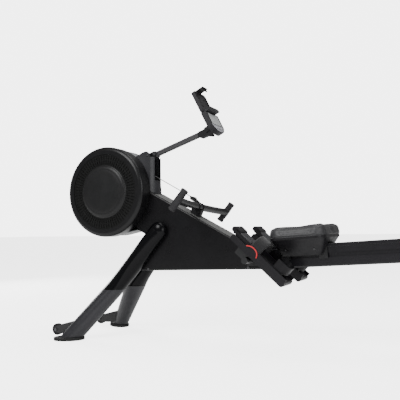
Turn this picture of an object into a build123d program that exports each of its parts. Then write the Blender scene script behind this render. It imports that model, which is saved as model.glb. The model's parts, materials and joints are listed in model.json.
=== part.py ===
from build123d import *
import math
import os

os.makedirs("parts", exist_ok=True)

# Air rowing machine with a tall front end. All sizes are in millimetres.
# Stations run along X from a datum just behind the transport wheels, rear end positive.
# The floor is Z = 0, the machine is symmetric about Y = 0, and -Y is the rower's right hand side.
mid_station = 1169.0   # station of the frame origin, halfway along the machine

# rail: a box extrusion that climbs towards the rear
rail_slope = 3.57
rail_datum = (1000.0, 421.0)       # station and height of a point on its top face
rail_width = 84.0
rail_height = 90.0
rail_wall = 4.0
rail_start = -30.0                 # along the rail, from the datum
rail_end = 1346.0
track_inset = 14.0                 # centre of each running track from the rail's edge
track_width = 16.0
track_thickness = 1.5
track_recess = 0.6                 # how far a track is let into the rail
groove_depth = 9.0
groove_height = 16.0
groove_drop = 44.0                 # centre of the side groove below the top face

# fan drum
drum_centre = (236.0, 684.0)
drum_face = 118.0                  # right face of the drum, from the middle plane
drum_back = 86.0                   # left face of the drum
drum_radius = 213.0
back_radius = 203.0
ring_radius = 195.0                # outer edge of the flat face ring
grille_radius = 176.0
core_radius = 126.5
shell_wall = 3.0
shroud_radius = 209.0
shroud_half = 50.0
fan_radius = 160.0
fan_near = -52.0
fan_far = 27.0
fan_blades = 28
axle_radius = 8.5
bearing_radius = 20.0
bearing_width = 7.0
fork_plane = 62.0
fork_thickness = 6.0
running_gap = 0.05                 # radial clearance of a shaft in its bearing
skin_gap = 0.4                     # clearance between faces that must not touch

# body that stands between the drum and the rail
body_half = 50.0
body_wall = 3.0
edge_round = 8.0
apex = (456.0, 676.5)
slope_end = (868.0, 457.0)
column_half = 45.0
column_rear = 446.0
column_top = 871.0
nose_depth = 25.0                  # how far the column's nose bulges out
slot_half = 28.0
slot_low = 737.0
slot_high = 843.0
nose_top = 843.0
ear_reach = 19.0                   # outer face of the arm's ears, from the middle plane

# drive train inside the body
drive_centre = (600.0, 503.0)
drive_radius = 70.0
pulley_radius = 30.0
belt_plane = 39.5
belt_width = 7.0
belt_thickness = 3.0
spool_radius = 45.0
spool_half = 14.0
guide_centre = (422.4, 746.6)
guide_radius = 18.0
guide_pin_radius = 5.0
spool_shaft_radius = 8.0

# front legs
knee = (275.0, 89.0, 228.0)
foot = (100.0, 201.0, 0.0)
leg_top = (503.0, 66.0, 497.0)
knee_half = (41.0, 51.0)
ankle_half = (41.0, 33.0)
cover_turn_half = (41.0, 47.0)
cover_shoulder_half = (41.0, 33.0)
cover_top_half = (41.0, 28.0)
leg_wall = 3.0
strut_radius = 15.0
pad_half = (70.5, 46.0)
pad_thickness = 14.0
wheel_centre = (6.0, 170.0, 37.0)
wheel_radius = 27.0
wheel_width = 22.0

# pull handle, hung on its cradle at a slight tilt
handle_centre = (678.0, 603.0)
handle_tilt = 4.6
grip_reach = 243.0
grip_radius = 16.5
grip_half = 52.0
grip_lean = 38.0
bar_radius = 16.0
cord_radius = 2.0
cord_exit = (448.0, 755.8)
cord_lift = 0.35                   # the cord's gap off a pulley's groove
handle_hook = (640.0, 650.2)

# monitor on its arm
arm_pivot = (457.0, 858.0)
arm_end = (748.0, 951.5)
arm_radius = 13.0
arm_wall = 2.0
tilt_pivot = (730.0, 944.0)
screen_lean = 27.0

# footrest
board_angle = 42.3
board_corner = (900.0, 463.0)      # lower face of the board at its toe end
board_length = 290.0
board_width = 106.0
board_plane = 117.0
board_thickness = 27.0
board_round = 12.0                 # rounding of the board's two ends
sole_length = 262.0
slide_travel = 60.0

# seat, at the front end of its travel
seat_station = 172.0               # along the rail, from the datum
seat_travel = 900.0
seat_length = 236.0
seat_width = 314.0
seat_seam = 35.0                   # seam between cushion and base, above the rail
stop_front = 30.0                  # rubber stops on the rail, from the datum
stop_rear = 1215.0
roller_radius = 12.0
roller_half = 7.5
roller_spacing = 150.0

# rear leg
rear_foot_along = 1240.0
rear_bar_half = 245.0
rear_bar_radius = 26.0

side_names = {-1: "right", 1: "left"}


def save(shape, name):
    export_step(shape.moved(Location((-mid_station, 0, 0))), f"parts/{name}.step")


def cylinder_y(station, y, height, radius, length):
    """A cylinder whose axis runs across the machine."""
    return Location((station, y, height)) * Rot(90, 0, 0) * Cylinder(radius, length)


def prism_y(points, y_low, y_high):
    """An outline in stations and heights, pulled out between two Y planes."""
    solid = extrude(make_face(Polyline(list(points), close=True)), y_high - y_low)
    return Location((0, y_high, 0)) * Rot(90, 0, 0) * solid


def tube(path_points, radius, inner=0.0):
    start = Vector(*path_points[0])
    end = Vector(*path_points[1])
    line = Line(start, end)
    plane = Plane(origin=start, z_dir=(end - start).normalized())
    length = line.length
    outer = extrude(plane * Circle(radius), length)
    if inner > 0:
        outer -= extrude(plane * Circle(inner), length)
    return outer


rail_place = Location((rail_datum[0], 0, rail_datum[1]), (0, -rail_slope, 0))


def along_rail(shape):
    return rail_place * shape


def board_place(side):
    return Location((board_corner[0], side * board_plane, board_corner[1]), (0, board_angle, 0))


# ---------------------------------------------------------------- steel frame

beam_width = 57.0
beam_height = 60.0
beam_drop = 10.0                   # top of the beam below the rail's top face
beam_start = -538.0                # along the rail, from the datum
beam_end = 90.0
mast_plane = 30.0
mast_thickness = 5.0
mast_outline = [(432, 330), (655, 345), (655, 520), (628, 556), (560, 566), (470, 650), (442, 705),
                (442, 855), (408, 855), (408, 715), (428, 640)]
cross_station = 455.0
cross_height = 437.0
cross_radius = 24.0
fork_tubes = [(416.0, 726.0), (396.0, 592.0)]
fork_tube_radius = 9.0


def main_frame():
    beam = Box(beam_end - beam_start, beam_width, beam_height)
    bore = Box(beam_end - beam_start + 2, beam_width - 8, beam_height - 8)
    middle = (beam_start + beam_end) / 2
    drop = -beam_drop - beam_height / 2
    frame = along_rail(Location((middle, 0, drop)) * (beam - bore))
    for side in (-1, 1):
        low = side * mast_plane - mast_thickness / 2
        frame += prism_y(mast_outline, low, low + mast_thickness)
    tie_length = 2 * mast_plane + mast_thickness
    for station, height in ((640, 400), (470, 560)):
        frame += cylinder_y(station, 0, height, 8, tie_length)
    frame += cylinder_y(cross_station, 0, cross_height, cross_radius, 2 * leg_top[1] - 6)
    frame -= cylinder_y(cross_station, 0, cross_height, cross_radius - 3, 2 * leg_top[1])
    frame -= cylinder_y(*drive_seat, 2 * mast_plane + 20)
    frame -= cylinder_y(guide_centre[0], 0, guide_centre[1], 5, 2 * mast_plane + 20)
    return frame


drive_seat = (drive_centre[0], 0, drive_centre[1], bearing_radius)


def axle_fork():
    outline = [(236, 664), (360, 560), (405, 580), (410, 600), (425, 716), (420, 738), (404, 740), (360, 738),
               (236, 706)]
    fork = None
    for side in (-1, 1):
        low = side * fork_plane - fork_thickness / 2
        plate = prism_y(outline, low, low + fork_thickness)
        plate += cylinder_y(drum_centre[0], side * fork_plane, drum_centre[1], 34, fork_thickness)
        window = [(290, 652), (372, 600), (384, 700), (290, 690)]
        plate -= prism_y(window, low - 1, low + fork_thickness + 1)
        fork = plate if fork is None else fork + plate
    for station, height in fork_tubes:
        fork += cylinder_y(station, 0, height, fork_tube_radius, 2 * fork_plane)
    fork -= Location((fork_tubes[0][0], 0, fork_tubes[0][1])) * Box(40, 2 * mast_plane - 20, 40)
    fork -= cylinder_y(drum_centre[0], 0, drum_centre[1], bearing_radius, 2 * fork_plane + 20)
    return fork


def bearing(station, y, height, bore):
    ring = Cylinder(bearing_radius - 0.02, bearing_width) - Cylinder(bore, bearing_width + 2)
    return Location((station, y, height)) * Rot(90, 0, 0) * ring


# ---------------------------------------------------------------- fan and drum


def fan_wheel():
    width = fan_far - fan_near
    middle = (fan_far + fan_near) / 2
    hub = Cylinder(26, width) - Cylinder(axle_radius + 0.3, width + 2)
    wheel = hub + Cylinder(fan_radius - 6, 4)
    rim = Cylinder(fan_radius, 5) - Cylinder(fan_radius - 14, 7)
    for end in (-1, 1):
        wheel += Location((0, 0, end * (width - 5) / 2)) * rim
    blade = Location((fan_radius - 47, 0, 0), (0, 0, 32)) * Box(92, 2.2, width - 4)
    for number in range(fan_blades):
        wheel += Rot(0, 0, number * 360 / fan_blades) * blade
    wheel -= Cylinder(axle_radius + 0.3, width + 2)
    return Location((drum_centre[0], middle, drum_centre[1])) * Rot(90, 0, 0) * wheel


def fan_axle():
    length = 2 * fork_plane + 30
    return cylinder_y(drum_centre[0], 0, drum_centre[1], axle_radius, length)


def grooved_pulley(radius, width, bore):
    pulley = Cylinder(radius, width) - Cylinder(bore, width + 2)
    flange = Cylinder(radius + 4, 1.5) - Cylinder(bore, 3)
    for end in (-1, 1):
        pulley += Location((0, 0, end * (width / 2 + 0.75))) * flange
    return Rot(90, 0, 0) * pulley


def drive_belt():
    """A closed belt round the two pulleys, kept a skin gap off each rim."""
    belt = extrude(belt_loop(skin_gap + belt_thickness), belt_width) - extrude(belt_loop(skin_gap), belt_width)
    return Location((0, belt_plane + belt_width / 2, 0)) * Rot(90, 0, 0) * belt


def belt_loop(offset_out):
    small = Vector(drum_centre[0], drum_centre[1])
    large = Vector(drive_centre[0], drive_centre[1])
    span = large - small
    heading = math.degrees(math.atan2(span.Y, span.X))
    r_small = pulley_radius + offset_out
    r_large = drive_radius + offset_out
    lean = math.degrees(math.asin((r_large - r_small) / span.length))
    up = heading + 90 + lean
    down = heading - 90 - lean
    corners = []
    for centre, radius in ((small, r_small), (large, r_large)):
        for angle in (up, down):
            corners.append(centre + Vector(radius, 0).rotate(Axis.Z, angle))
    small_back = small + Vector(r_small, 0).rotate(Axis.Z, heading + 180)
    large_back = large + Vector(r_large, 0).rotate(Axis.Z, heading)
    edges = [Line(corners[0], corners[2]), ThreePointArc(corners[2], large_back, corners[3]),
             Line(corners[3], corners[1]), ThreePointArc(corners[1], small_back, corners[0])]
    return make_face(edges)


def drum_cover(side):
    """One pressed side of the drum: a flat face ring that rolls over into the side wall."""
    face = drum_face if side < 0 else drum_back
    widest = drum_radius if side < 0 else back_radius
    ring = ring_radius if side < 0 else ring_radius - 10
    depth = face - shroud_half - skin_gap
    grille = grille_radius + 1.0
    profile = [Line((grille, 0), (grille, 6)), Line((grille, 6), (ring - 3, 3)),
               Line((ring - 3, 3), (widest - shell_wall, 18)),
               Line((widest - shell_wall, 18), (widest - shell_wall, depth)),
               Line((widest - shell_wall, depth), (widest, depth)), Line((widest, depth), (widest, 16)),
               Spline([(widest, 16), (ring + 8, 2.5), (ring, 0)], tangents=[(0, -1), (-1, 0)]),
               Line((ring, 0), (grille, 0))]
    section = make_face(profile)
    shell = revolve(section, Axis.Y, 360)
    turned = shell if side < 0 else mirror(shell, Plane.XZ)
    return Location((drum_centre[0], side * face, drum_centre[1])) * turned


def side_grille(side):
    """The intake ring with its radial slots."""
    face = drum_face if side < 0 else drum_back
    ring = Cylinder(grille_radius + 0.6, 2.5) - Cylinder(core_radius - 2, 4)
    slot = Box(18, 2.6, 6)
    cutters = []
    for row in range(2):
        radius = core_radius + 13 + 23 * row
        for number in range(72):
            cutters.append(Rot(0, 0, number * 5) * Location((radius, 0, 0)) * slot)
    ring -= Compound(children=cutters)
    return Location((drum_centre[0], side * (face - 4), drum_centre[1])) * Rot(90, 0, 0) * ring


def core_cap(side):
    """The domed disc over the hub."""
    face = drum_face if side < 0 else drum_back
    rise = 18.0 if side < 0 else 8.0
    profile = [Spline([(0, -rise), (core_radius * 0.6, -rise * 0.78), (core_radius - 6, -rise * 0.30),
                       (core_radius, 0)], tangents=[(1, 0), (0.3, 1)]),
               Line((core_radius, 0), (core_radius - 3, 0)),
               Spline([(core_radius - 3, 0), (core_radius * 0.6, 4 - rise * 0.78), (0, 4 - rise)],
                      tangents=[(-0.3, -1), (-1, 0)]),
               Line((0, 4 - rise), (0, -rise))]
    dome = revolve(make_face(profile), Axis.Y, 360)
    turned = dome if side < 0 else mirror(dome, Plane.XZ)
    return Location((drum_centre[0], side * (face - 2.2), drum_centre[1])) * turned


def fan_shroud():
    """The band between the two side covers; its tail runs out to the body."""
    width = 2 * shroud_half
    start_angle = 52.0
    tail_angle = 285.0
    outer = shroud_radius
    inner = shroud_radius - shell_wall

    def on_circle(radius, angle):
        turn = math.radians(angle)
        return (drum_centre[0] + radius * math.cos(turn), drum_centre[1] + radius * math.sin(turn))

    middle = (start_angle + tail_angle) / 2
    tail = (384.6, 500.8)
    tail_inner = (381.4, 503.2)
    outside = [on_circle(outer, angle) for angle in (start_angle, middle, tail_angle)]
    inside = [on_circle(inner, angle) for angle in (tail_angle + 1, middle, start_angle)]
    edges = [ThreePointArc(*outside), Line(outside[-1], tail), Line(tail, tail_inner), Line(tail_inner, inside[0]),
             ThreePointArc(*inside), Line(inside[-1], outside[0])]
    band = extrude(make_face(edges), width)
    return Location((0, shroud_half, 0)) * Rot(90, 0, 0) * band


# ---------------------------------------------------------------- body covers

body_front = [(386.5, 501.0), (419.0, 484.0), (395.0, 312.0)]
body_rear = [(989.0, 330.0), (989.0, 421.5), (946.0, 418.5)]


def body_outline(inset=0.0):
    """The body in side view, with a hollow that follows the drum."""
    hug_radius = shroud_radius + skin_gap
    top_angle = math.atan2(apex[1] - drum_centre[1], apex[0] - 12 - drum_centre[0])
    low_angle = math.atan2(body_front[0][1] - drum_centre[1], body_front[0][0] - drum_centre[0])
    top, middle, low = [(drum_centre[0] + hug_radius * math.cos(angle), drum_centre[1] + hug_radius * math.sin(angle))
                        for angle in (top_angle, (top_angle + low_angle) / 2, low_angle)]
    edges = [Line(apex, top), ThreePointArc(top, middle, low), Line(low, body_front[0]),
             Polyline(body_front + body_rear), Line(body_rear[-1], apex)]
    face = make_face(edges)
    return offset(face, -inset, kind=Kind.INTERSECTION) if inset else face


cover_screw_places = [(439.0, 320.8), (933.0, 336.8)]
screw_radius = 2.5
way_outline = [(385, 530), (500, 530), (500, 720), (385, 720)]   # where masts and belt pass the inner wall


def body_cover(side):
    outer = extrude(body_outline(), body_half)
    outer = Rot(90, 0, 0) * outer
    outer = outer if side < 0 else Location((0, body_half, 0)) * outer
    far_face = outer.faces().sort_by(Axis.Y)[0 if side < 0 else -1]
    straight = far_face.edges().filter_by(GeomType.LINE)
    rounded = [edge for edge in straight if edge.length > 60]
    outer = fillet(rounded, edge_round)
    inner = Rot(90, 0, 0) * extrude(body_outline(body_wall), body_half)
    inner_shift = body_wall if side < 0 else body_half - body_wall
    shell = outer - Location((0, inner_shift, 0)) * inner
    shell -= along_rail(Location((0, 0, -rail_height / 2)) * Box(60, rail_width + 1.2, rail_height + 1.2))
    shell -= cylinder_y(cross_station, 0, cross_height, cross_radius + 1.0, 4 * body_half)
    spine_cut = prism_y([(apex[0] - 30, apex[1] + 60), (apex[0] - 30, 620), (apex[0], apex[1] - 4),
                        (slope_end[0], slope_end[1] - 4), (slope_end[0], 520)], -44.4, 44.4)
    for station, height in cover_screw_places:
        shell -= cylinder_y(station, side * body_half, height, screw_radius + 0.1, 20)
    way = prism_y(way_outline, -mast_plane - mast_thickness, body_half - body_wall)
    return shell - spine_cut - way


def spine_cover():
    """The light strip let in between the two body covers along the slope."""
    thickness = 3.2
    outline = [(apex[0] + 16, apex[1] - 8.5), (slope_end[0] - 1, slope_end[1] + 0.6),
               (slope_end[0] - 1, slope_end[1] + 0.6 - thickness), (apex[0] + 16, apex[1] - 8.5 - thickness)]
    return prism_y(outline, -44.0, 44.0)


def column_side(side):
    """A flat side plate of the column, rounded at the top."""
    arc_inner = 196.0
    start = (436.0, 680.0)
    top_low = (352.0, 842.0)
    edges = [Line((column_rear, 680.5), (column_rear, 846)),
             ThreePointArc((column_rear, 846), (439, 864), (420, 870)),
             Line((420, 870), (408, 867)), Line((408, 867), top_low),
             ThreePointArc(top_low, (drum_centre[0] + arc_inner * math.cos(math.radians(28)),
                                     drum_centre[1] + arc_inner * math.sin(math.radians(28))), start),
             Line(start, (column_rear, 680.5))]
    plate = extrude(make_face(edges), body_wall)
    outside = -column_half + body_wall if side < 0 else column_half
    return Location((0, outside, 0)) * Rot(90, 0, 0) * plate


def column_nose():
    """The bulging rear face of the column; its cord slot is open at the top, under the arm."""
    half = column_half
    start = column_rear + skin_gap
    outer = [ThreePointArc((start, -half), (start + nose_depth, 0), (start, half)),
             Line((start, half), (start, half - body_wall)),
             ThreePointArc((start, half - body_wall), (start + nose_depth - body_wall, 0), (start, body_wall - half)),
             Line((start, body_wall - half), (start, -half))]
    shell = Location((0, 0, 664)) * extrude(make_face(outer), nose_top - 664)
    slot = Location((start + nose_depth / 2 + 4, 0, (slot_low + slot_high) / 2)) * Box(
        nose_depth + 30, 2 * slot_half, slot_high - slot_low + 8)
    under = prism_y([(apex[0] - 60, 600), (apex[0] - 60, apex[1] + 32), (slope_end[0], slope_end[1] + 0.8),
                    (slope_end[0], 400)], -60, 60)
    shell -= slot
    shell -= under
    return shell


def column_cap():
    """The bridge over the top of the column, cut away behind for the arm's ears."""
    inside = column_half - body_wall - skin_gap
    outline = [(356, 841), (408, 864.5), (420, 867.4), (444, 861),
               (444, 858), (420, 864), (408, 861), (358, 838.4)]
    notch_half = ear_reach + skin_gap
    notch = prism_y([(422, 850), (460, 850), (460, 880), (422, 880)], -notch_half, notch_half)
    return prism_y(outline, -inside, inside) - notch


def cover_screws():
    """Button-headed screws through the lower edge of the body covers."""
    made = []
    for side in (-1, 1):
        for station, height in cover_screw_places:
            shank = cylinder_y(station, side * (body_half - 3), height, screw_radius, 10)
            head = cylinder_y(station, side * (body_half + 1.7), height, 2 * screw_radius, 2.6)
            made.append(shank + head)
    return made


# ---------------------------------------------------------------- front legs


def ellipse_at(point, heading, half, grow=0.0):
    """An ellipse square to the leg: its first half width lies in the leg's own upright plane."""
    z_dir = Vector(*heading).normalized()
    across = Vector(0, 0, 1).cross(z_dir).normalized()
    x_dir = z_dir.cross(across).normalized()
    return Plane(origin=point, x_dir=x_dir, z_dir=z_dir) * Ellipse(half[0] + grow, half[1] + grow)


def leg_points(side):
    sole = Vector(foot[0], side * foot[1], foot[2])
    bend = Vector(knee[0], side * knee[1], knee[2])
    top = Vector(leg_top[0], side * leg_top[1], leg_top[2])
    return sole, bend, top


def leg_oval(side, distance, grow=0.0):
    """The lower leg's oval at a distance above the sole; it widens evenly up to the knee."""
    sole, bend, top = leg_points(side)
    share = distance / (bend - sole).length
    half = (knee_half[0], ankle_half[1] + share * (knee_half[1] - ankle_half[1]))
    heading = (bend - sole).normalized()
    return ellipse_at(sole + heading * distance, heading, half, grow)


def leg_length():
    sole, bend, top = leg_points(1)
    return (bend - sole).length


def lower_leg_solid(side, grow=0.0):
    return loft([leg_oval(side, -60, grow), leg_oval(side, leg_length() + 70, grow)])


def lower_leg(side):
    """The tapered oval tube between the knee seam and the floor pad."""
    walls = lower_leg_solid(side) - lower_leg_solid(side, -leg_wall)
    height = knee[2] - pad_thickness - 2 * skin_gap
    slab = Location((knee[0], side * 140, pad_thickness + skin_gap / 2 + height / 2)) * Box(700, 500, height)
    return walls & slab


def leg_strut(side):
    """The inner steel tube from the cross tube down to a plug in the top of the lower leg."""
    sole, bend, top = leg_points(side)
    anchor = Vector(cross_station - 4, side * (leg_top[1] + 2), cross_height - 5)
    heading = (bend - sole).normalized()
    strut = tube([tuple(anchor), tuple(bend - heading * 44)], strut_radius, strut_radius - 3)
    length = leg_length()
    plug = loft([leg_oval(side, length - 52, -leg_wall - 0.1), leg_oval(side, length - 34, -leg_wall - 0.1)])
    return strut + plug


def cover_solid(side, grow=0.0):
    sole, bend, top = leg_points(side)
    high_heading = (top - bend).normalized()
    low_heading = (bend - sole).normalized()
    mid_heading = (low_heading + high_heading).normalized()
    length = leg_length()
    turn = bend + (low_heading + high_heading) * 30
    shoulder = top - high_heading * 70
    skin = loft([leg_oval(side, length - 75, grow), leg_oval(side, length - 5, grow),
                 ellipse_at(turn, mid_heading, cover_turn_half, grow),
                 ellipse_at(shoulder, high_heading, cover_shoulder_half, grow),
                 ellipse_at(top, high_heading, cover_top_half, grow)])
    dome = scale(Sphere(cover_top_half[0] + grow),
                 by=(1, (cover_top_half[1] + grow) / (cover_top_half[0] + grow), 1))
    return skin + Location(tuple(top)) * dome


def leg_cover(side):
    """The glossy shell over the upper leg, from the knee seam to its rounded end on the body."""
    shell = cover_solid(side) - cover_solid(side, -leg_wall)
    shell -= Location((knee[0], 0, knee[2] - 200)) * Box(800, 800, 400)
    body_block = Rot(90, 0, 0) * extrude(body_outline(), 2 * body_half + 2 * skin_gap)
    return shell - Location((0, body_half + skin_gap, 0)) * body_block


def foot_pad(side):
    sole, bend, top = leg_points(side)
    plan = Vector(bend.X - sole.X, bend.Y - sole.Y, 0).normalized()
    turn = math.degrees(math.atan2(plan.Y, plan.X))
    pad = extrude(Ellipse(*pad_half), pad_thickness)
    pad = fillet(pad.edges(), 3)
    return Location((sole.X, sole.Y, 0), (0, 0, turn)) * pad


# ---------------------------------------------------------------- transport wheels

bracket_gap = 1.0
bracket_wall = 3.0
wheel_pin_radius = 4.0


def wheel_bracket(side):
    """Two cheeks and a back plate that hold the wheel in front of the leg."""
    reach = wheel_width / 2 + bracket_gap + bracket_wall
    middle = side * wheel_centre[1]
    station, height = wheel_centre[0], wheel_centre[2]
    outline = [(station - 12, height - 6), (station - 8, height + 12), (station + 20, height + 24),
               (station + 140, height + 56), (station + 140, height - 10), (station + 20, height - 16),
               (station - 4, height - 13)]
    block = prism_y(outline, middle - reach, middle + reach)
    gap = wheel_width / 2 + bracket_gap
    space = prism_y([(station - 60, height - 60), (station - 60, height + 60), (station + 31, height + 60),
                     (station + 31, height - 60)], middle - gap, middle + gap)
    block -= space
    block -= lower_leg_solid(side, skin_gap)
    block -= cylinder_y(station, middle, height, wheel_pin_radius + 0.02, 3 * wheel_width)
    return block.solids().sort_by(Axis.X)[0]


def wheel_pin(side):
    middle = side * wheel_centre[1]
    pin = cylinder_y(wheel_centre[0], middle, wheel_centre[2], wheel_pin_radius, wheel_width + 10)
    for end in (-1, 1):
        pin += cylinder_y(wheel_centre[0], middle + end * (wheel_width / 2 + 6.5), wheel_centre[2], 7, 3)
    return pin


def transport_wheel(side):
    tread = Cylinder(wheel_radius, wheel_width)
    tread = fillet(tread.edges(), 4)
    dish = Cylinder(wheel_radius - 8, 3)
    for end in (-1, 1):
        tread -= Location((0, 0, end * wheel_width / 2)) * dish
    tread -= Cylinder(wheel_pin_radius + running_gap, wheel_width + 2)
    return Location((wheel_centre[0], side * wheel_centre[1], wheel_centre[2])) * Rot(90, 0, 0) * tread


# ---------------------------------------------------------------- rail and rear leg


def rail_section():
    half = rail_width / 2
    outer = [(-half, 0), (half, 0), (half, -11), (half - 2, -13), (half - 2, -groove_drop + groove_height / 2),
             (half - groove_depth, -groove_drop + groove_height / 2),
             (half - groove_depth, -groove_drop - groove_height / 2),
             (half - 2, -groove_drop - groove_height / 2), (half - 2, -rail_height + 6), (half - 8, -rail_height)]
    mirrored = [(-y, z) for y, z in reversed(outer[2:])]
    return outer + mirrored


def rail_bar():
    """The seat rail: a hollow box with a groove along each side."""
    plane = Plane(origin=(rail_start, 0, 0), x_dir=(0, 1, 0), z_dir=(1, 0, 0))
    outline = make_face(Polyline(rail_section(), close=True))
    half = rail_width / 2 - groove_depth - rail_wall
    hollow = make_face(Polyline([(-half, -rail_wall), (half, -rail_wall), (half, rail_wall - rail_height),
                                 (-half, rail_wall - rail_height)], close=True))
    bar = extrude(plane * outline, rail_end - rail_start) - extrude(plane * hollow, rail_end - rail_start)
    for side in (-1, 1):
        recess = Box(rail_end - rail_start - 40, track_width + 0.6, 2 * track_recess)
        bar -= Location(((rail_end + rail_start) / 2, side * (rail_width / 2 - track_inset), 0)) * recess
    return along_rail(bar)


def rail_tracks():
    strips = []
    for side in (-1, 1):
        strip = Box(rail_end - rail_start - 42, track_width, track_thickness)
        place = Location(((rail_end + rail_start) / 2, side * (rail_width / 2 - track_inset),
                          track_thickness / 2 - track_recess))
        strips.append(along_rail(place * strip))
    return Compound(children=strips)


def rail_end_cap():
    cap = Box(10, rail_width + 4, rail_height + 4)
    cap = fillet(cap.edges().filter_by(Axis.X), 8)
    cap = Location((rail_end + 5.2, 0, -rail_height / 2)) * cap
    half = rail_width / 2 - groove_depth - rail_wall - 0.4
    plug = Location((rail_end - 10, 0, -rail_height / 2)) * Box(24, 2 * half, rail_height - 2 * rail_wall - 1)
    return along_rail(cap + plug)


def seat_stop(along):
    """A rubber-faced block that ends the seat's travel."""
    block = Box(22, 20, 16)
    block = fillet(block.edges().filter_by(Axis.Z), 4)
    return along_rail(Location((along, 0, 8.1)) * block)


rear_post_top = 1215.0
rear_bar_station = rail_datum[0] + rear_foot_along


def rear_bracket():
    """The saddle under the rail that the rear post is welded to."""
    wide = rail_width / 2 + 5
    plate = Location((rear_post_top, 0, -rail_height - 3.2)) * Box(130, 2 * wide, 6)
    for side in (-1, 1):
        cheek = Location((rear_post_top, side * (wide - 2), -rail_height + 10)) * Box(130, 4, 32)
        plate += cheek
    return along_rail(plate)


def rear_post():
    top = along_rail(Location((rear_post_top, 0, -rail_height - 6.4))).position
    base = Vector(rear_bar_station, 0, rear_bar_radius)
    heading = (top - base).normalized()
    plane = Plane(origin=base - heading * 10, x_dir=(0, 1, 0), z_dir=heading)
    length = (top - base).length + 40
    post = extrude(plane * RectangleRounded(44, 64, 14), length)
    post -= extrude(plane * RectangleRounded(38, 58, 11), length)
    ceiling = along_rail(Location((rear_post_top, 0, 200 - rail_height - 6.0)) * Box(600, 300, 400))
    post -= ceiling
    return post - rear_bar_block(0.0)


def rear_bar_block(grow):
    outline = RectangleRounded(2 * rear_bar_radius + 8 + 2 * grow, 2 * (rear_bar_radius - 4) + 2 * grow, 14)
    length = 2 * rear_bar_half - 60
    bar = Rot(90, 0, 0) * extrude(outline, length)
    return Location((rear_bar_station, length / 2, rear_bar_radius + 8)) * bar


def rear_foot_bar():
    length = 2 * rear_bar_half - 60
    inner = RectangleRounded(2 * rear_bar_radius + 2, 2 * (rear_bar_radius - 7), 11)
    core = Location((rear_bar_station, length / 2 + 1, rear_bar_radius + 8)) * (
        Rot(90, 0, 0) * extrude(inner, length + 2))
    return rear_bar_block(0.0) - core


def rear_foot_cap(side):
    """A rubber boot on the end of the foot bar, flat underneath."""
    length = 62.0
    outline = RectangleRounded(2 * rear_bar_radius + 16, 2 * rear_bar_radius + 8, 10)
    boot = extrude(outline, length)
    boot = fillet(boot.faces().sort_by(Axis.Z)[-1].edges(), 4)
    socket = RectangleRounded(2 * rear_bar_radius + 8.2, 2 * (rear_bar_radius - 4) + 0.2, 14)
    boot -= Location((0, 4, -1)) * extrude(socket, 35)
    turn = Rot(90, 0, 0) if side < 0 else Rot(-90, 0, 180)
    start = side * (rear_bar_half - length)
    placed = Location((rear_bar_station, start, rear_bar_radius + 4)) * turn * boot
    return placed


# ---------------------------------------------------------------- seat and carriage

carriage_length = 190.0
carriage_plate = 4.0
roller_rise = roller_radius + track_thickness - track_recess + skin_gap
lower_radius = 7.2
axle_rod = 4.0
base_half = (113.0, 152.0)
skirt_half = (84.0, 62.0)
skirt_low = -42.0
base_skin = 4.0
base_top = seat_seam - skin_gap


def at_seat(along, y, above):
    return along_rail(Location((seat_station + along, y, above)))


def seat_cushion():
    outline = RectangleRounded(seat_length, seat_width, 46)
    pad = extrude(outline, 45)
    pad = fillet(pad.faces().sort_by(Axis.Z)[-1].edges(), 14)
    wedge = Location((0, 0, 52.5), (0, -2.0, 0)) * Box(2 * seat_length, 2 * seat_width, 20)
    return along_rail(Location((seat_station, 0, seat_seam)) * (pad - wedge))


def seat_base():
    """The moulded tray under the cushion, with skirts that close in on the rail."""
    rim = RectangleRounded(2 * base_half[0], 2 * base_half[1], 42)
    top = extrude(rim, 9)
    skirt = loft([RectangleRounded(2 * base_half[0] - 4, 2 * base_half[1] - 6, 40),
                  Location((-8, 0, skirt_low - base_top + 9)) * RectangleRounded(2 * skirt_half[0], 2 * skirt_half[1], 22)])
    tray = Location((0, 0, base_top - 9)) * (top + skirt)
    hollow_top = RectangleRounded(2 * base_half[0] - 12, 2 * base_half[1] - 14, 36)
    hollow = loft([hollow_top, Location((-8, 0, skirt_low - base_top + base_skin)) * RectangleRounded(
        2 * skirt_half[0] - 7, 2 * skirt_half[1] - 7, 19)])
    tray -= Location((0, 0, base_top - base_skin)) * hollow
    tray -= Location((0, 0, skirt_low / 2)) * Box(3 * base_half[0], rail_width + 18, -skirt_low + 12)
    return along_rail(Location((seat_station, 0, 0)) * tray)


def seat_carriage():
    """A folded steel channel that carries the rollers."""
    half = rail_width / 2 + 4
    top = base_top - base_skin - skin_gap
    plate = Location((0, 0, top - carriage_plate / 2)) * Box(carriage_length, 2 * half, carriage_plate)
    reach = groove_drop + 14
    for side in (-1, 1):
        flange = Location((0, side * (half - 1), (top - reach) / 2)) * Box(carriage_length, 2, top + reach)
        plate += flange
    window = Location((0, 0, -groove_drop / 2 - 20)) * Box(carriage_length - 70, 4 * half, groove_drop)
    plate -= window
    for along in (-roller_spacing / 2, roller_spacing / 2):
        plate -= Location((along, 0, roller_rise), (90, 0, 0)) * Cylinder(axle_rod + 0.02, 3 * half)
        plate -= Location((along, 0, -groove_drop), (90, 0, 0)) * Cylinder(3.02, 3 * half)
    return along_rail(Location((seat_station, 0, 0)) * plate)


def roller_rods():
    """Axle rods for the upper rollers and stub pins for the lower ones."""
    half = rail_width / 2 + 4
    rods = []
    for along in (-roller_spacing / 2, roller_spacing / 2):
        rods.append(at_seat(along, 0, roller_rise) * (Rot(90, 0, 0) * Cylinder(axle_rod, 2 * half + 6)))
        for side in (-1, 1):
            pin = Rot(90, 0, 0) * Cylinder(3, 13)
            rods.append(at_seat(along, side * (half - 5.0), -groove_drop) * pin)
    return Compound(children=rods)


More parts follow.
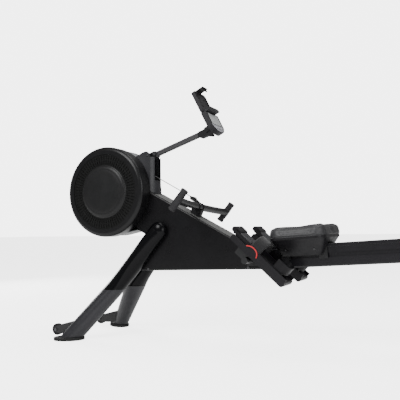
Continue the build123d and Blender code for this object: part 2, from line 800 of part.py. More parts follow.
def upper_rollers(along):
    wheels = Cylinder(8, 2 * (rail_width / 2 - track_inset) - 2 * roller_half + 1)
    for side in (-1, 1):
        wheel = Cylinder(roller_radius, 2 * roller_half)
        wheel = fillet(wheel.edges(), 2)
        wheels += Location((0, 0, side * (rail_width / 2 - track_inset))) * wheel
    wheels -= Cylinder(axle_rod + running_gap, rail_width * 2)
    return at_seat(along, 0, roller_rise) * (Rot(90, 0, 0) * wheels)


def lower_rollers(along):
    made = []
    for side in (-1, 1):
        wheel = Cylinder(lower_radius, 7) - Cylinder(3 + running_gap, 9)
        made.append(at_seat(along, side * (rail_width / 2 - 4.6), -groove_drop) * (Rot(90, 0, 0) * wheel))
    return made


# ---------------------------------------------------------------- footrest

slide_thickness = 14.0
slide_gap = 0.6
strap_along = 113.0
strap_width = 52.0
strap_rise = 66.0
strap_thickness = 3.0
heel_height = 38.0
bracket_station = 958.0
bracket_height = 372.0


def foot_board(side):
    board = Box(board_length, board_width, board_thickness)
    board = fillet(board.edges().filter_by(Axis.Y), board_round)
    board = Location((board_length / 2, 0, board_thickness / 2)) * board
    for edge in (-1, 1):
        rail_lip = Location((board_length / 2 + 40, edge * (board_width / 2 - 3), board_thickness + 5)) * Box(
            board_length - 90, 6, 12)
        board += rail_lip
    track = Location((board_length / 2, 0, board_thickness)) * Box(board_length - 40, 20.8, 12)
    return board_place(side) * (board - track)


def heel_slide(side):
    """The adjustable sole plate with its heel cup; its key runs in the board's track."""
    bottom = board_thickness + slide_gap
    half = board_width / 2 - 8
    plate = Box(sole_length, 2 * half, slide_thickness)
    plate = fillet(plate.edges().filter_by(Axis.Y), 5)
    plate = Location((sole_length / 2 - 9, 0, bottom + slide_thickness / 2)) * plate
    key = Location((sole_length / 2 - 13, 0, board_thickness - 2)) * Box(120, 20, 7)
    toe = Location((-2, 0, bottom + slide_thickness / 2 + 4)) * (
        Rot(90, 0, 0) * extrude(RectangleRounded(44, 22, 10), 2 * half - 16))
    toe = Location((0, half - 8, 0)) * toe
    outer = extrude(RectangleRounded(86, 2 * half, 34), heel_height)
    outer = fillet(outer.faces().sort_by(Axis.Z)[-1].edges(), 4)
    inner = extrude(RectangleRounded(86 - 14, 2 * half - 14, 28), heel_height)
    cup = outer - inner - Location((-60, 0, heel_height / 2)) * Box(86, 2 * half + 2, heel_height + 2)
    cup = Location((sole_length - 38, 0, bottom + slide_thickness - 1)) * cup
    slide = plate + key + toe + cup
    return board_place(side) * slide


def foot_strap(side):
    """A wide strap arched over the sole plate, tucked into the board at both edges."""
    half = board_width / 2 - 0.5
    low = board_thickness + 11.4
    high = board_thickness + strap_rise
    outer = [Line((-half, low), (-half, low + 22)), ThreePointArc((-half, low + 22), (0, high), (half, low + 22)),
             Line((half, low + 22), (half, low)), Line((half, low), (half - strap_thickness, low)),
             Line((half - strap_thickness, low), (half - strap_thickness, low + 21)),
             ThreePointArc((half - strap_thickness, low + 21), (0, high - strap_thickness),
                           (strap_thickness - half, low + 21)),
             Line((strap_thickness - half, low + 21), (strap_thickness - half, low)),
             Line((strap_thickness - half, low), (-half, low))]
    plane = Plane(origin=(strap_along - strap_width / 2, 0, 0), x_dir=(0, 1, 0), z_dir=(1, 0, 0))
    return board_place(side) * extrude(plane * make_face(outer), strap_width)


def strap_tab(side):
    """The red pull loop that tightens the strap, on the outer edge."""
    outer = side * (board_width / 2 + 1.8)
    path = [(strap_along - 26, 44), (strap_along - 8, 68), (strap_along + 22, 66), (strap_along + 34, 40)]
    run = FilletPolyline([(p[0], outer, p[1]) for p in path], radius=14)
    plane = Plane(origin=run @ 0, z_dir=run % 0)
    loop = sweep(plane * Circle(2.0), path=run)
    return board_place(side) * loop


def footrest_bracket(side):
    """The steel arm that carries a foot board off the frame."""
    near = body_half + skin_gap
    flange = Location((bracket_station, side * (near + 2), bracket_height)) * Box(56, 4, 56)
    length = board_plane + 40 - near
    arm = cylinder_y(bracket_station, side * (near + length / 2), bracket_height, 14, length)
    bracket = flange + arm
    for across in (-34, 34):
        web = Location((74, across, -16)) * Box(50, 5, 34)
        bracket += board_place(side) * web
    clear = board_place(side) * (Location((board_length / 2, 0, 40 - skin_gap)) * Box(900, 400, 80))
    return bracket - clear


# ---------------------------------------------------------------- monitor arm and console

clevis_half = 14.5
pin_radius = 4.0
arm_short = 68.0                   # how far the tube stops short of the tilt hinge's end
ear_half = 8.0
ear_radius = 22.0
console_back = 29.0
console_front = 53.0
console_half = 67.0
console_low = -43.0
console_high = 63.0
console_shoulder = -6.0            # where the curved bottom starts
console_wall = 2.5
screen_low = 0.0
screen_half = 51.0
holder_back = 27.5
holder_front = 44.0
holder_low = 66.0
holder_high = 181.0
holder_half = 59.0
ledge_front = 75.0
button_across = (-26.0, 0.0, 26.0)
button_rise = -17.0
button_size = (16.0, 9.0)
button_travel = 1.2


def arm_clevis():
    block = Location((426, 0, 846)) * Box(30, 2 * mast_plane - mast_thickness - 0.2, 22)
    block -= Location((444, 0, 862)) * Box(30, 2 * clevis_half - 1, 30)
    ears = [(412, 836), (446, 843.6), (464, 847), (470, 858), (464, 871),
            (450, 871), (430, 864), (424, 858), (412, 857)]
    for side in (-1, 1):
        low = side * (clevis_half + 2.5) - 2
        block += prism_y(ears, low, low + 4)
    block -= cylinder_y(arm_pivot[0], 0, arm_pivot[1], 14.2, 2 * clevis_half - 0.2)
    block -= cylinder_y(arm_pivot[0], 0, arm_pivot[1], pin_radius + 0.02, 80)
    return block


def arm_pin():
    pin = cylinder_y(arm_pivot[0], 0, arm_pivot[1], pin_radius, 2 * clevis_half + 12)
    for side in (-1, 1):
        pin += cylinder_y(arm_pivot[0], side * (clevis_half + 7), arm_pivot[1], 8, 5)
    return pin


def monitor_arm():
    start = Vector(arm_pivot[0], 0, arm_pivot[1])
    end = Vector(arm_end[0], 0, arm_end[1])
    heading = (end - start).normalized()
    body = tube([tuple(start + heading * 6), tuple(end - heading * arm_short)], arm_radius, arm_radius - arm_wall)
    body += cylinder_y(arm_pivot[0], 0, arm_pivot[1], arm_radius, 2 * arm_radius)
    body -= cylinder_y(arm_pivot[0], 0, arm_pivot[1], pin_radius + running_gap, 80)
    return body


def arm_head():
    """The black end fitting with the fork for the console's tilt hinge."""
    start = Vector(arm_pivot[0], 0, arm_pivot[1])
    end = Vector(arm_end[0], 0, arm_end[1])
    heading = (end - start).normalized()
    plug = tube([tuple(end - heading * (arm_short + 22)), tuple(end - heading * (arm_short - 12))],
                arm_radius - arm_wall - 0.05)
    fork = [(690, 918), (700, 914), (728, 922), (754, 919), (757, 928), (744, 938), (741, 952), (730, 958),
            (716, 953), (686, 944)]
    for side in (-1, 1):
        low = side * (ear_half + 3.0) - 2.5
        plug += prism_y(fork, low, low + 5)
    bridge = prism_y([(690, 918), (700, 914), (706, 916), (702, 949), (686, 944)], -ear_half - 4, ear_half + 4)
    plug += bridge
    plug -= cylinder_y(tilt_pivot[0], 0, tilt_pivot[1], ear_radius + 1, 2 * ear_half + 1)
    plug -= cylinder_y(tilt_pivot[0], 0, tilt_pivot[1], pin_radius + 0.02, 80)
    return plug


def tilt_pin():
    pin = cylinder_y(tilt_pivot[0], 0, tilt_pivot[1], pin_radius, 2 * ear_half + 14)
    for side in (-1, 1):
        pin += cylinder_y(tilt_pivot[0], side * 16.1, tilt_pivot[1], 7, 4)
    return pin


console_place = Location((tilt_pivot[0], 0, tilt_pivot[1]), (0, -screen_lean, 0))


def console_face_plane(rise):
    """A drawing plane square to the screen: drawing x runs across, drawing y runs up the face."""
    return Plane(origin=(rise, 0, 0), x_dir=(0, 1, 0), z_dir=(1, 0, 0))


def console_outline(inset):
    half = console_half - inset
    low = console_low + inset
    high = console_high - inset
    edges = [Line((-half, high), (-half, console_shoulder)),
             ThreePointArc((-half, console_shoulder), (0, low), (half, console_shoulder)),
             Line((half, console_shoulder), (half, high)), Line((half, high), (-half, high))]
    return make_face(edges)


def window_outline(grow):
    high = console_high - 6 + grow
    low = screen_low - grow
    wide = screen_half + grow
    return make_face(Polyline([(-wide, low), (wide, low), (wide, high), (-wide, high)], close=True))


def console_case():
    """The console's moulded shell with the hinge ear on its back."""
    depth = console_front - console_back
    shell = extrude(console_face_plane(console_back) * console_outline(0), depth)
    front = shell.faces().sort_by(Axis.X)[-1]
    shell = fillet(front.edges(), 2.0)
    cavity = extrude(console_face_plane(console_back + console_wall) * console_outline(console_wall),
                     depth - 2 * console_wall)
    shell -= cavity
    shell -= extrude(console_face_plane(console_front - 6) * window_outline(skin_gap), 12)
    shell -= extrude(console_face_plane(console_front - 0.9) * panel_outline(), 3)
    for across in button_across:
        hole = Box(12, button_size[0] + 1, button_size[1] + 1)
        shell -= Location((console_front, across, button_rise)) * hole
    ear = Rot(90, 0, 0) * Cylinder(ear_radius, 2 * ear_half)
    ear += Location((console_back / 2, 0, 0)) * Box(console_back + 2, 2 * ear_half, 2 * ear_radius)
    ear -= Rot(90, 0, 0) * Cylinder(pin_radius + running_gap, 3 * ear_half)
    ear -= Location((console_back + 20, 0, 0)) * Box(39, 40, 60)
    return console_place * (shell + ear)


def panel_outline(shrink=0.0):
    """The button panel follows the case's curved bottom, a little way in."""
    inset = 5.0 + shrink
    half = console_half - inset
    top = screen_low - 2.0 - shrink
    edges = [Line((-half, top), (-half, console_shoulder - 1)),
             ThreePointArc((-half, console_shoulder - 1), (0, console_low + inset), (half, console_shoulder - 1)),
             Line((half, console_shoulder - 1), (half, top)), Line((half, top), (-half, top))]
    return make_face(edges)


def console_panel():
    panel = extrude(console_face_plane(console_front - 0.85) * panel_outline(0.2), 0.8)
    for across in button_across:
        panel -= Location((console_front, across, button_rise)) * Box(12, button_size[0] + 1, button_size[1] + 1)
    return console_place * panel


def console_screen():
    pane = extrude(console_face_plane(console_front - 4.4) * window_outline(0), 4)
    return console_place * pane


def console_board():
    """The circuit board inside the case, on four posts."""
    board = Location((console_back + 9, 0, 20)) * Box(1.6, 110, 62)
    for across in (-46, 46):
        for rise in (-4, 44):
            post = Location((console_back + console_wall + 3.0, across, rise), (0, 90, 0)) * Cylinder(3, 5.8)
            board += post
    return console_place * board


def console_button(across):
    wide, high = button_size
    cap = Location((console_front - 0.4, across, button_rise)) * Box(6.0, wide, high)
    cap = fillet(cap.edges().filter_by(Axis.X), 2.5)
    flange = Location((console_front - 3.9, across, button_rise)) * Box(1.6, wide + 4, high + 4)
    stem = Location((console_front - 7.5, across, button_rise), (0, 90, 0)) * Cylinder(2.5, 6)
    return console_place * (cap + flange + stem)


def holder_plate():
    """The back plate of the device holder with its lower ledge."""
    middle = (holder_low + holder_high) / 2
    plate = extrude(console_face_plane(holder_back) * (
        Location((0, middle)) * RectangleRounded(2 * holder_half, holder_high - holder_low, 16)),
        holder_front - holder_back)
    recess = extrude(console_face_plane(holder_front - 3) * (
        Location((0, middle + 3)) * RectangleRounded(2 * holder_half - 14, holder_high - holder_low - 22, 12)), 5)
    plate -= recess
    ledge = Location(((holder_front + ledge_front) / 2 - 2, 0, holder_low + 4)) * Box(
        ledge_front - holder_front + 4, 100, 8)
    ledge = fillet(ledge.edges().filter_by(Axis.Z), 3)
    lip = Location((ledge_front - 2, 0, holder_low + 9)) * Box(4, 84, 6)
    neck = Location((holder_back + 8, 0, holder_low - 1.0)) * Box(12, 60, 3.9)
    guide = Location((holder_front - 8, 0, holder_high - 20)) * Box(4.4, 24.8, 60)
    plate = plate + ledge + lip + neck - guide
    return console_place * plate


def holder_clip():
    """The sprung jaw at the holder's top; its tongue runs in the plate."""
    rise = holder_high - 2
    jaw = Location(((holder_front + 30 + 30) / 2 + 5, 0, rise + 6)) * Box(46, 50, 4)
    lip = Location((holder_front + 28, 0, rise)) * Box(4, 50, 12)
    tongue = Location((holder_front - 8, 0, rise - 16)) * Box(4, 24, 44)
    return console_place * (jaw + lip + tongue)


def holder_latch():
    """The small catch that ties the holder to the case, on the right edge."""
    latch = Location((holder_back + 6, -holder_half + 6, console_high + 1.5)) * Box(10, 10, 2.0)
    return console_place * latch


# ---------------------------------------------------------------- drive train and cords


def fan_pulley():
    pulley = grooved_pulley(pulley_radius, belt_width + 1, axle_radius - 0.02)
    return Location((drum_centre[0], belt_plane, drum_centre[1])) * pulley


def drive_pulley():
    pulley = grooved_pulley(drive_radius, belt_width + 1, spool_shaft_radius - 0.02)
    for number in range(5):
        hole = Rot(0, number * 72, 0) * Location((42, 0, 0), (90, 0, 0)) * Cylinder(13, 20)
        pulley -= hole
    return Location((drive_centre[0], belt_plane, drive_centre[1])) * pulley


def spool_shaft():
    reach = belt_plane + belt_width / 2 + 1.5 + mast_plane + bearing_width / 2 + 2
    middle = (belt_plane + belt_width / 2 + 1.5 - mast_plane - bearing_width / 2 - 2) / 2
    return cylinder_y(drive_centre[0], middle, drive_centre[1], spool_shaft_radius, reach)


def cord_spool():
    barrel = Cylinder(spool_radius - cord_radius, 2 * spool_half) - Cylinder(
        spool_shaft_radius + running_gap, 3 * spool_half)
    for end in (-1, 1):
        cheek = Cylinder(spool_radius + 7, 2.5) - Cylinder(spool_shaft_radius + running_gap, 6)
        barrel += Location((0, 0, end * (spool_half + 1.25))) * cheek
    return Location((drive_centre[0], 0, drive_centre[1])) * Rot(90, 0, 0) * barrel


def guide_pulley():
    body = Cylinder(guide_radius + 4, 12)
    groove = Cylinder(guide_radius + 5, 5) - Cylinder(guide_radius, 6)
    pulley = body - groove - Cylinder(guide_pin_radius + running_gap, 20)
    return Location((guide_centre[0], 0, guide_centre[1])) * Rot(90, 0, 0) * pulley


def guide_pin():
    return cylinder_y(guide_centre[0], 0, guide_centre[1], guide_pin_radius - 0.02, 2 * mast_plane + mast_thickness)


def cord_inner():
    """The cord inside the column: off the spool, over the guide and out to the slot."""
    spool = Vector(drive_centre[0], drive_centre[1])
    guide = Vector(guide_centre[0], guide_centre[1])
    wound = spool_radius
    bent = guide_radius + cord_radius + cord_lift
    span = guide - spool
    heading = math.degrees(math.atan2(span.Y, span.X))
    lean = math.degrees(math.asin((wound - bent) / span.length))
    touch = heading + 90 - lean
    start = spool + Vector(wound + cord_radius + cord_lift, 0).rotate(Axis.Z, touch)
    meet = guide + Vector(bent, 0).rotate(Axis.Z, touch)
    slope = math.atan2(handle_hook[1] - cord_exit[1], handle_hook[0] - cord_exit[0])
    leave = math.degrees(slope) + 90
    part = guide + Vector(bent, 0).rotate(Axis.Z, leave)
    exit_point = Vector(cord_exit[0], part.Y + (cord_exit[0] - part.X) * math.tan(slope))
    over = (touch + leave) / 2 if touch > leave else (touch + 360 + leave) / 2 - 360
    top = guide + Vector(bent, 0).rotate(Axis.Z, over)
    path = [Line(start, meet), ThreePointArc(meet, top, part), Line(part, exit_point)]
    wire = Wire([Rot(90, 0, 0) * edge for edge in path])
    plane = Plane(origin=wire @ 0, z_dir=wire % 0)
    print("inner cord length", round(wire.length, 1), "bend radius over the guide", round(bent, 2))
    return sweep(plane * Circle(cord_radius), path=wire)


def pull_cord():
    """The taut cord from the slot to the handle's yoke."""
    start = Vector(cord_exit[0] + skin_gap, 0, cord_exit[1])
    end = Vector(handle_hook[0], 0, handle_hook[1])
    print("pull cord length", round((end - start).length, 1))
    return tube([tuple(start), tuple(end)], cord_radius)


# ---------------------------------------------------------------- handle and cradle

handle_place = Location((handle_centre[0], 0, handle_centre[1]), (-handle_tilt, 0, 0))
bar_sweep_back = 26.0
yoke_half = 18.0


def grip_at(side, grow=0.0):
    turn = Location((bar_sweep_back, side * grip_reach, 0), (0, grip_lean, 0))
    return turn * Cylinder(grip_radius + grow, 2 * grip_half)


def handle_bar():
    """The curved cross bar between the two grips."""
    arc = ThreePointArc((bar_sweep_back, -grip_reach, 0), (0, 0, 0), (bar_sweep_back, grip_reach, 0))
    plane = Plane(origin=arc @ 0, z_dir=arc % 0)
    bar = sweep(plane * Circle(bar_radius), path=arc)
    for side in (-1, 1):
        bar -= grip_at(side, 0.02)
    return handle_place * bar.solids().sort_by(SortBy.VOLUME)[-1]


def handle_grip(side):
    grip = fillet(grip_at(side).edges(), 3)
    return handle_place * grip


def cord_yoke():
    """Two eyes round the bar and the links that bring them to the cord's end."""
    yoke = None
    hook = (handle_hook[0] - handle_centre[0], handle_hook[1] - handle_centre[1])
    link = [(-3, 14), (8, 12), (hook[0] + 14, hook[1] - 6), (hook[0] + 6, hook[1] - 16)]
    for side in (-1, 1):
        middle = side * yoke_half
        eye = cylinder_y(0, middle, 0, bar_radius + 3.5, 6)
        eye += prism_y(link, middle - 3, middle + 3)
        yoke = eye if yoke is None else yoke + eye
    block = prism_y([(hook[0] + 2, hook[1] + 3), (hook[0] + 16, hook[1] - 2), (hook[0] + 14, hook[1] - 17),
                     (hook[0] + 2, hook[1] - 14)], -yoke_half - 3, yoke_half + 3)
    yoke += block
    yoke -= cylinder_y(0, 0, 0, bar_radius + 0.4, 80)
    mouth = tube([(-228, 0, 104.7 + 21), (hook[0] + 12, 0, hook[1] - 6.6)], cord_radius + 0.3)
    return handle_place * (yoke - mouth)


def handle_cradle():
    """The post on the spine with the saddle that the bar hangs in."""
    outline = [(641, 578.8), (684, 556.0), (692, 572), (697, 587.0),
               (664, 591), (659.5, 614), (652, 614), (645, 592)]
    post = prism_y(outline, -12.5, 12.5)
    post -= handle_place * (Rot(90, 0, 0) * Cylinder(bar_radius + 0.5, 60))
    return post


# ---------------------------------------------------------------- files


def both(make):
    """The same piece on both sides, kept as two solids."""
    return [make(-1), make(1)]


def group(pieces):
    solids = []
    for piece in pieces:
        solids.extend(piece.solids())
    return Compound(children=solids)


def bearings():
    made = [bearing(drum_centre[0], side * fork_plane, drum_centre[1], axle_radius + running_gap)
            for side in (-1, 1)]
    made += [bearing(drive_centre[0], side * mast_plane, drive_centre[1], spool_shaft_radius + running_gap)
             for side in (-1, 1)]
    return made


def welded_frame():
    return main_frame() + axle_fork() + leg_strut(-1) + leg_strut(1)


save(welded_frame(), "main_frame")
save(group(bearings()), "shaft_bearings")
save(group([guide_pin(), arm_pin()] + both(wheel_pin)), "frame_pins")
save(fan_shroud(), "fan_shroud")
save(group(both(drum_cover)), "drum_covers")
save(group(both(side_grille)), "drum_grilles")
save(group(both(core_cap)), "core_caps")
save(group(both(body_cover)), "body_covers")
save(spine_cover(), "spine_cover")
save(group(both(column_side) + [column_nose(), column_cap()]), "column_shell")
save(group(cover_screws()), "cover_screws")
save(group(both(leg_cover)), "leg_covers")
save(group(both(lower_leg)), "lower_legs")
save(group(both(foot_pad)), "foot_pads")
save(group(both(wheel_bracket)), "wheel_brackets")
save(rail_bar(), "rail_bar")
save(rail_tracks(), "rail_tracks")
save(group([rail_end_cap(), seat_stop(stop_front), seat_stop(stop_rear)]), "rail_end_fittings")
save(rear_bracket() + rear_post() + rear_foot_bar(), "rear_leg")
save(group(both(rear_foot_cap)), "rear_foot_caps")
save(group(both(foot_board)), "foot_boards")
save(group(both(foot_strap)), "foot_straps")
save(group(both(strap_tab)), "strap_tabs")
save(group(both(footrest_bracket)), "footrest_brackets")
save(handle_cradle(), "handle_cradle")
save(arm_clevis(), "arm_clevis")
save(drive_belt(), "drive_belt")
save(cord_inner(), "cord_inner")
save(fan_wheel(), "fan_wheel")
save(group([fan_axle(), fan_pulley()]), "fan_axle")
save(group([drive_pulley(), spool_shaft()]), "drive_pulley")
save(cord_spool(), "cord_spool")
save(guide_pulley(), "guide_pulley")
save(handle_bar(), "handle_bar")
save(group(both(handle_grip)), "handle_grips")
save(cord_yoke(), "cord_yoke")
save(pull_cord(), "pull_cord")
save(seat_cushion(), "seat_cushion")
save(seat_base(), "seat_base")
save(group([seat_carriage(), roller_rods()]), "seat_carriage")
for name, place in (("front", -roller_spacing / 2), ("rear", roller_spacing / 2)):
    save(upper_rollers(place), f"upper_rollers_{name}")
    save(group(lower_rollers(place)), f"lower_rollers_{name}")
save(monitor_arm(), "monitor_arm")
save(group([arm_head(), tilt_pin()]), "arm_head")
save(console_case(), "console_case")
save(console_screen(), "console_screen")
save(console_panel(), "console_panel")
save(console_board(), "console_board")
save(group([holder_plate(), holder_latch()]), "holder_plate")
save(holder_clip(), "holder_clip")
for number, across in enumerate(button_across):
    save(console_button(across), f"console_button_{number + 1}")
for side, side_name in side_names.items():
    save(transport_wheel(side), f"transport_wheel_{side_name}")
    save(heel_slide(side), f"heel_slide_{side_name}")
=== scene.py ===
import json
import math

import bmesh
import bpy
from mathutils import Matrix, Vector
from mathutils.bvhtree import BVHTree


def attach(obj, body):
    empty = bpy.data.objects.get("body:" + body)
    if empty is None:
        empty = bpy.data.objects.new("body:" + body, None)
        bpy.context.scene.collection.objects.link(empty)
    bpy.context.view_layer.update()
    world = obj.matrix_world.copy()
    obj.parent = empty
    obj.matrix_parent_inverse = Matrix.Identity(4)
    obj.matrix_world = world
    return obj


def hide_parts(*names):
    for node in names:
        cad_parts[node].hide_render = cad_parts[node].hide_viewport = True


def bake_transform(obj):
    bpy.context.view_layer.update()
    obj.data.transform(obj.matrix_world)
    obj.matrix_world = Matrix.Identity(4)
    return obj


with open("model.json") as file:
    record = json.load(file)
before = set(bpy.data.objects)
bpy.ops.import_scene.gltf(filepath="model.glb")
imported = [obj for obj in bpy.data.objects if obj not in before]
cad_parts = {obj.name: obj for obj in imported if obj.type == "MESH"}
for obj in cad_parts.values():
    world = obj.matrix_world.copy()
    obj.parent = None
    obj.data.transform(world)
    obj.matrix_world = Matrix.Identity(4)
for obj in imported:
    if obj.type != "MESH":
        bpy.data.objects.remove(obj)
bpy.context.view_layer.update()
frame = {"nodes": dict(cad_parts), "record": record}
nodes = frame["nodes"]
print("frame loaded:", len(nodes), "nodes")

# places that several pieces share, in metres
midStation = 1.169                      # station of the frame origin
railSlope = math.radians(3.57)
railDatum = Vector((1.0 - midStation, 0, 0.421))
seatStation = 0.172


def stationed(x, y, z):
    return Vector((x - midStation, y, z))


# camera and studio
cameraSetup = {"lens": 48.983, "place": stationed(1.7831, -2.2084, 0.5), "heading": 26.4533,
               "pitch": 3.1063, "roll": -0.7458}
studio = {"floorTone": (0.95, 0.95, 0.95), "worldTone": (1.0, 1.0, 1.0), "roomLight": 0.3, "backdrop": 5.0,
          "floorGlow": 3.4, "floorLight": 0.15}
lights = [
    {"name": "keySoftbox", "at": (-1.2, -3.2, 3.2), "aim": (-0.3, 0, 0.5), "size": 2.0, "power": 150},
    {"name": "fillSoftbox", "at": (3.4, -2.6, 1.8), "aim": (0, 0, 0.5), "size": 2.4, "power": 95, "gloss": 0.35},
    {"name": "topSoftbox", "at": (0.2, 0.4, 3.6), "aim": (0, 0, 0.4), "size": 2.2, "power": 60},
    {"name": "rimSoftbox", "at": (-3.6, 1.6, 1.5), "aim": (-0.5, 0, 0.5), "size": 1.4, "power": 70},
]

cameraData = bpy.data.cameras.new("studioCamera")
cameraData.lens = cameraSetup["lens"]
cameraData.sensor_width = 36
cameraData.clip_start = 0.05
cameraData.clip_end = 100
camera = bpy.data.objects.new("studioCamera", cameraData)
bpy.context.scene.collection.objects.link(camera)
camera.matrix_world = (Matrix.Translation(cameraSetup["place"])
                       @ Matrix.Rotation(math.radians(cameraSetup["heading"]), 4, "Z")
                       @ Matrix.Rotation(math.radians(90 + cameraSetup["pitch"]), 4, "X")
                       @ Matrix.Rotation(math.radians(cameraSetup["roll"]), 4, "Z"))
bpy.context.scene.camera = camera

for lamp in lights:
    data = bpy.data.lights.new(lamp["name"], "AREA")
    data.shape = "SQUARE"
    data.size = lamp["size"]
    data.energy = lamp["power"]
    data.specular_factor = lamp.get("gloss", 1.0)
    lampObject = bpy.data.objects.new(lamp["name"], data)
    bpy.context.scene.collection.objects.link(lampObject)
    lampObject.location = lamp["at"]
    aim = Vector(lamp["aim"]) - Vector(lamp["at"])
    lampObject.rotation_euler = aim.to_track_quat("-Z", "Y").to_euler()

world = bpy.data.worlds.new("studioWorld")
bpy.context.scene.world = world
world.use_nodes = True
worldShader = world.node_tree.nodes["Background"]
worldShader.inputs["Color"].default_value = (*studio["worldTone"], 1)
# the backdrop shows brighter than the light it gives, as a lit paper sweep does behind dark goods
ray = world.node_tree.nodes.new("ShaderNodeLightPath")
level = world.node_tree.nodes.new("ShaderNodeMapRange")
level.inputs["To Min"].default_value = studio["roomLight"]
level.inputs["To Max"].default_value = studio["backdrop"]
world.node_tree.links.new(ray.outputs["Is Camera Ray"], level.inputs["Value"])
world.node_tree.links.new(level.outputs["Result"], worldShader.inputs["Strength"])


# materials: every finish is a shader with its own small-scale detail
def newFinish(name, tone, rough, metal=0.0, specular=0.5, coat=0.0, sheen=0.0):
    finish = bpy.data.materials.new(name)
    finish.use_nodes = True
    tree = finish.node_tree
    shader = tree.nodes["Principled BSDF"]
    shader.inputs["Base Color"].default_value = (*tone, 1)
    shader.inputs["Roughness"].default_value = rough
    shader.inputs["Metallic"].default_value = metal
    shader.inputs["Specular IOR Level"].default_value = specular
    shader.inputs["Coat Weight"].default_value = coat
    shader.inputs["Coat Roughness"].default_value = 0.12
    shader.inputs["Sheen Weight"].default_value = sheen
    return finish, tree, shader


def coordinates(tree, stretch=(1, 1, 1), turn=(0, 0, 0)):
    place = tree.nodes.new("ShaderNodeTexCoord")
    mapping = tree.nodes.new("ShaderNodeMapping")
    mapping.inputs["Scale"].default_value = stretch
    mapping.inputs["Rotation"].default_value = turn
    tree.links.new(place.outputs["Object"], mapping.inputs["Vector"])
    return mapping.outputs["Vector"]


def noise(tree, vector, scale, detail=3.0, rough=0.5):
    texture = tree.nodes.new("ShaderNodeTexNoise")
    texture.inputs["Scale"].default_value = scale
    texture.inputs["Detail"].default_value = detail
    texture.inputs["Roughness"].default_value = rough
    tree.links.new(vector, texture.inputs["Vector"])
    return texture.outputs["Fac"]


def spread(tree, value, low, high):
    # maps a texture's middle values onto the range that a socket needs
    band = tree.nodes.new("ShaderNodeMapRange")
    band.inputs["From Min"].default_value = 0.3
    band.inputs["From Max"].default_value = 0.7
    band.inputs["To Min"].default_value = low
    band.inputs["To Max"].default_value = high
    tree.links.new(value, band.inputs["Value"])
    return band.outputs["Result"]


def tint(tree, value, dark, light):
    ramp = tree.nodes.new("ShaderNodeValToRGB")
    ramp.color_ramp.elements[0].position = 0.32
    ramp.color_ramp.elements[1].position = 0.68
    ramp.color_ramp.elements[0].color = (*dark, 1)
    ramp.color_ramp.elements[1].color = (*light, 1)
    tree.links.new(value, ramp.inputs["Fac"])
    return ramp.outputs["Color"]


def bumpFrom(tree, shader, height, strength, distance):
    bump = tree.nodes.new("ShaderNodeBump")
    bump.inputs["Strength"].default_value = strength
    bump.inputs["Distance"].default_value = distance
    tree.links.new(height, bump.inputs["Height"])
    tree.links.new(bump.outputs["Normal"], shader.inputs["Normal"])


def shade(tone, factor):
    return tuple(min(1.0, channel * factor) for channel in tone)


def moulded(name, tone, rough, specular=0.5, grain=900, depth=0.00006, coat=0.0):
    # moulded plastic: fine spark-eroded grain, a little cloudiness and handling marks in the gloss
    finish, tree, shader = newFinish(name, tone, rough, specular=specular, coat=coat)
    where = coordinates(tree)
    cloud = noise(tree, where, 7, 4)
    tree.links.new(tint(tree, cloud, shade(tone, 0.86), shade(tone, 1.16)), shader.inputs["Base Color"])
    smear = noise(tree, where, 26, 5, 0.6)
    tree.links.new(spread(tree, smear, rough * 0.88, min(1.0, rough * 1.16)), shader.inputs["Roughness"])
    bumpFrom(tree, shader, noise(tree, where, grain, 2), 0.5, depth)
    return finish


def coated(name, tone, rough, specular=0.5):
    # powder coat: an orange-peel skin over steel
    finish, tree, shader = newFinish(name, tone, rough, metal=0.0, specular=specular, coat=0.15)
    where = coordinates(tree)
    cloud = noise(tree, where, 9, 3)
    tree.links.new(tint(tree, cloud, shade(tone, 0.9), shade(tone, 1.12)), shader.inputs["Base Color"])
    tree.links.new(spread(tree, noise(tree, where, 40, 4), rough * 0.9, rough * 1.15), shader.inputs["Roughness"])
    bumpFrom(tree, shader, noise(tree, where, 420, 3, 0.6), 0.35, 0.00012)
    return finish


def brushed(name, tone, rough, stretch):
    # bright steel with drawn lines along one direction
    finish, tree, shader = newFinish(name, tone, rough, metal=1.0)
    lines = noise(tree, coordinates(tree, stretch), 1.0, 6, 0.7)
    tree.links.new(tint(tree, lines, shade(tone, 0.78), shade(tone, 1.1)), shader.inputs["Base Color"])
    tree.links.new(spread(tree, lines, rough * 0.75, rough * 1.3), shader.inputs["Roughness"])
    bumpFrom(tree, shader, lines, 0.15, 0.00003)
    return finish


def rubbery(name, tone, rough=0.7, specular=0.35):
    finish, tree, shader = newFinish(name, tone, rough, specular=specular)
    where = coordinates(tree)
    dust = noise(tree, where, 60, 6, 0.7)
    tree.links.new(tint(tree, dust, shade(tone, 0.8), shade(tone, 1.3)), shader.inputs["Base Color"])
    tree.links.new(spread(tree, noise(tree, where, 18, 4), rough * 0.9, min(1, rough * 1.15)),
                   shader.inputs["Roughness"])
    bumpFrom(tree, shader, noise(tree, where, 700, 3), 0.5, 0.0001)
    return finish


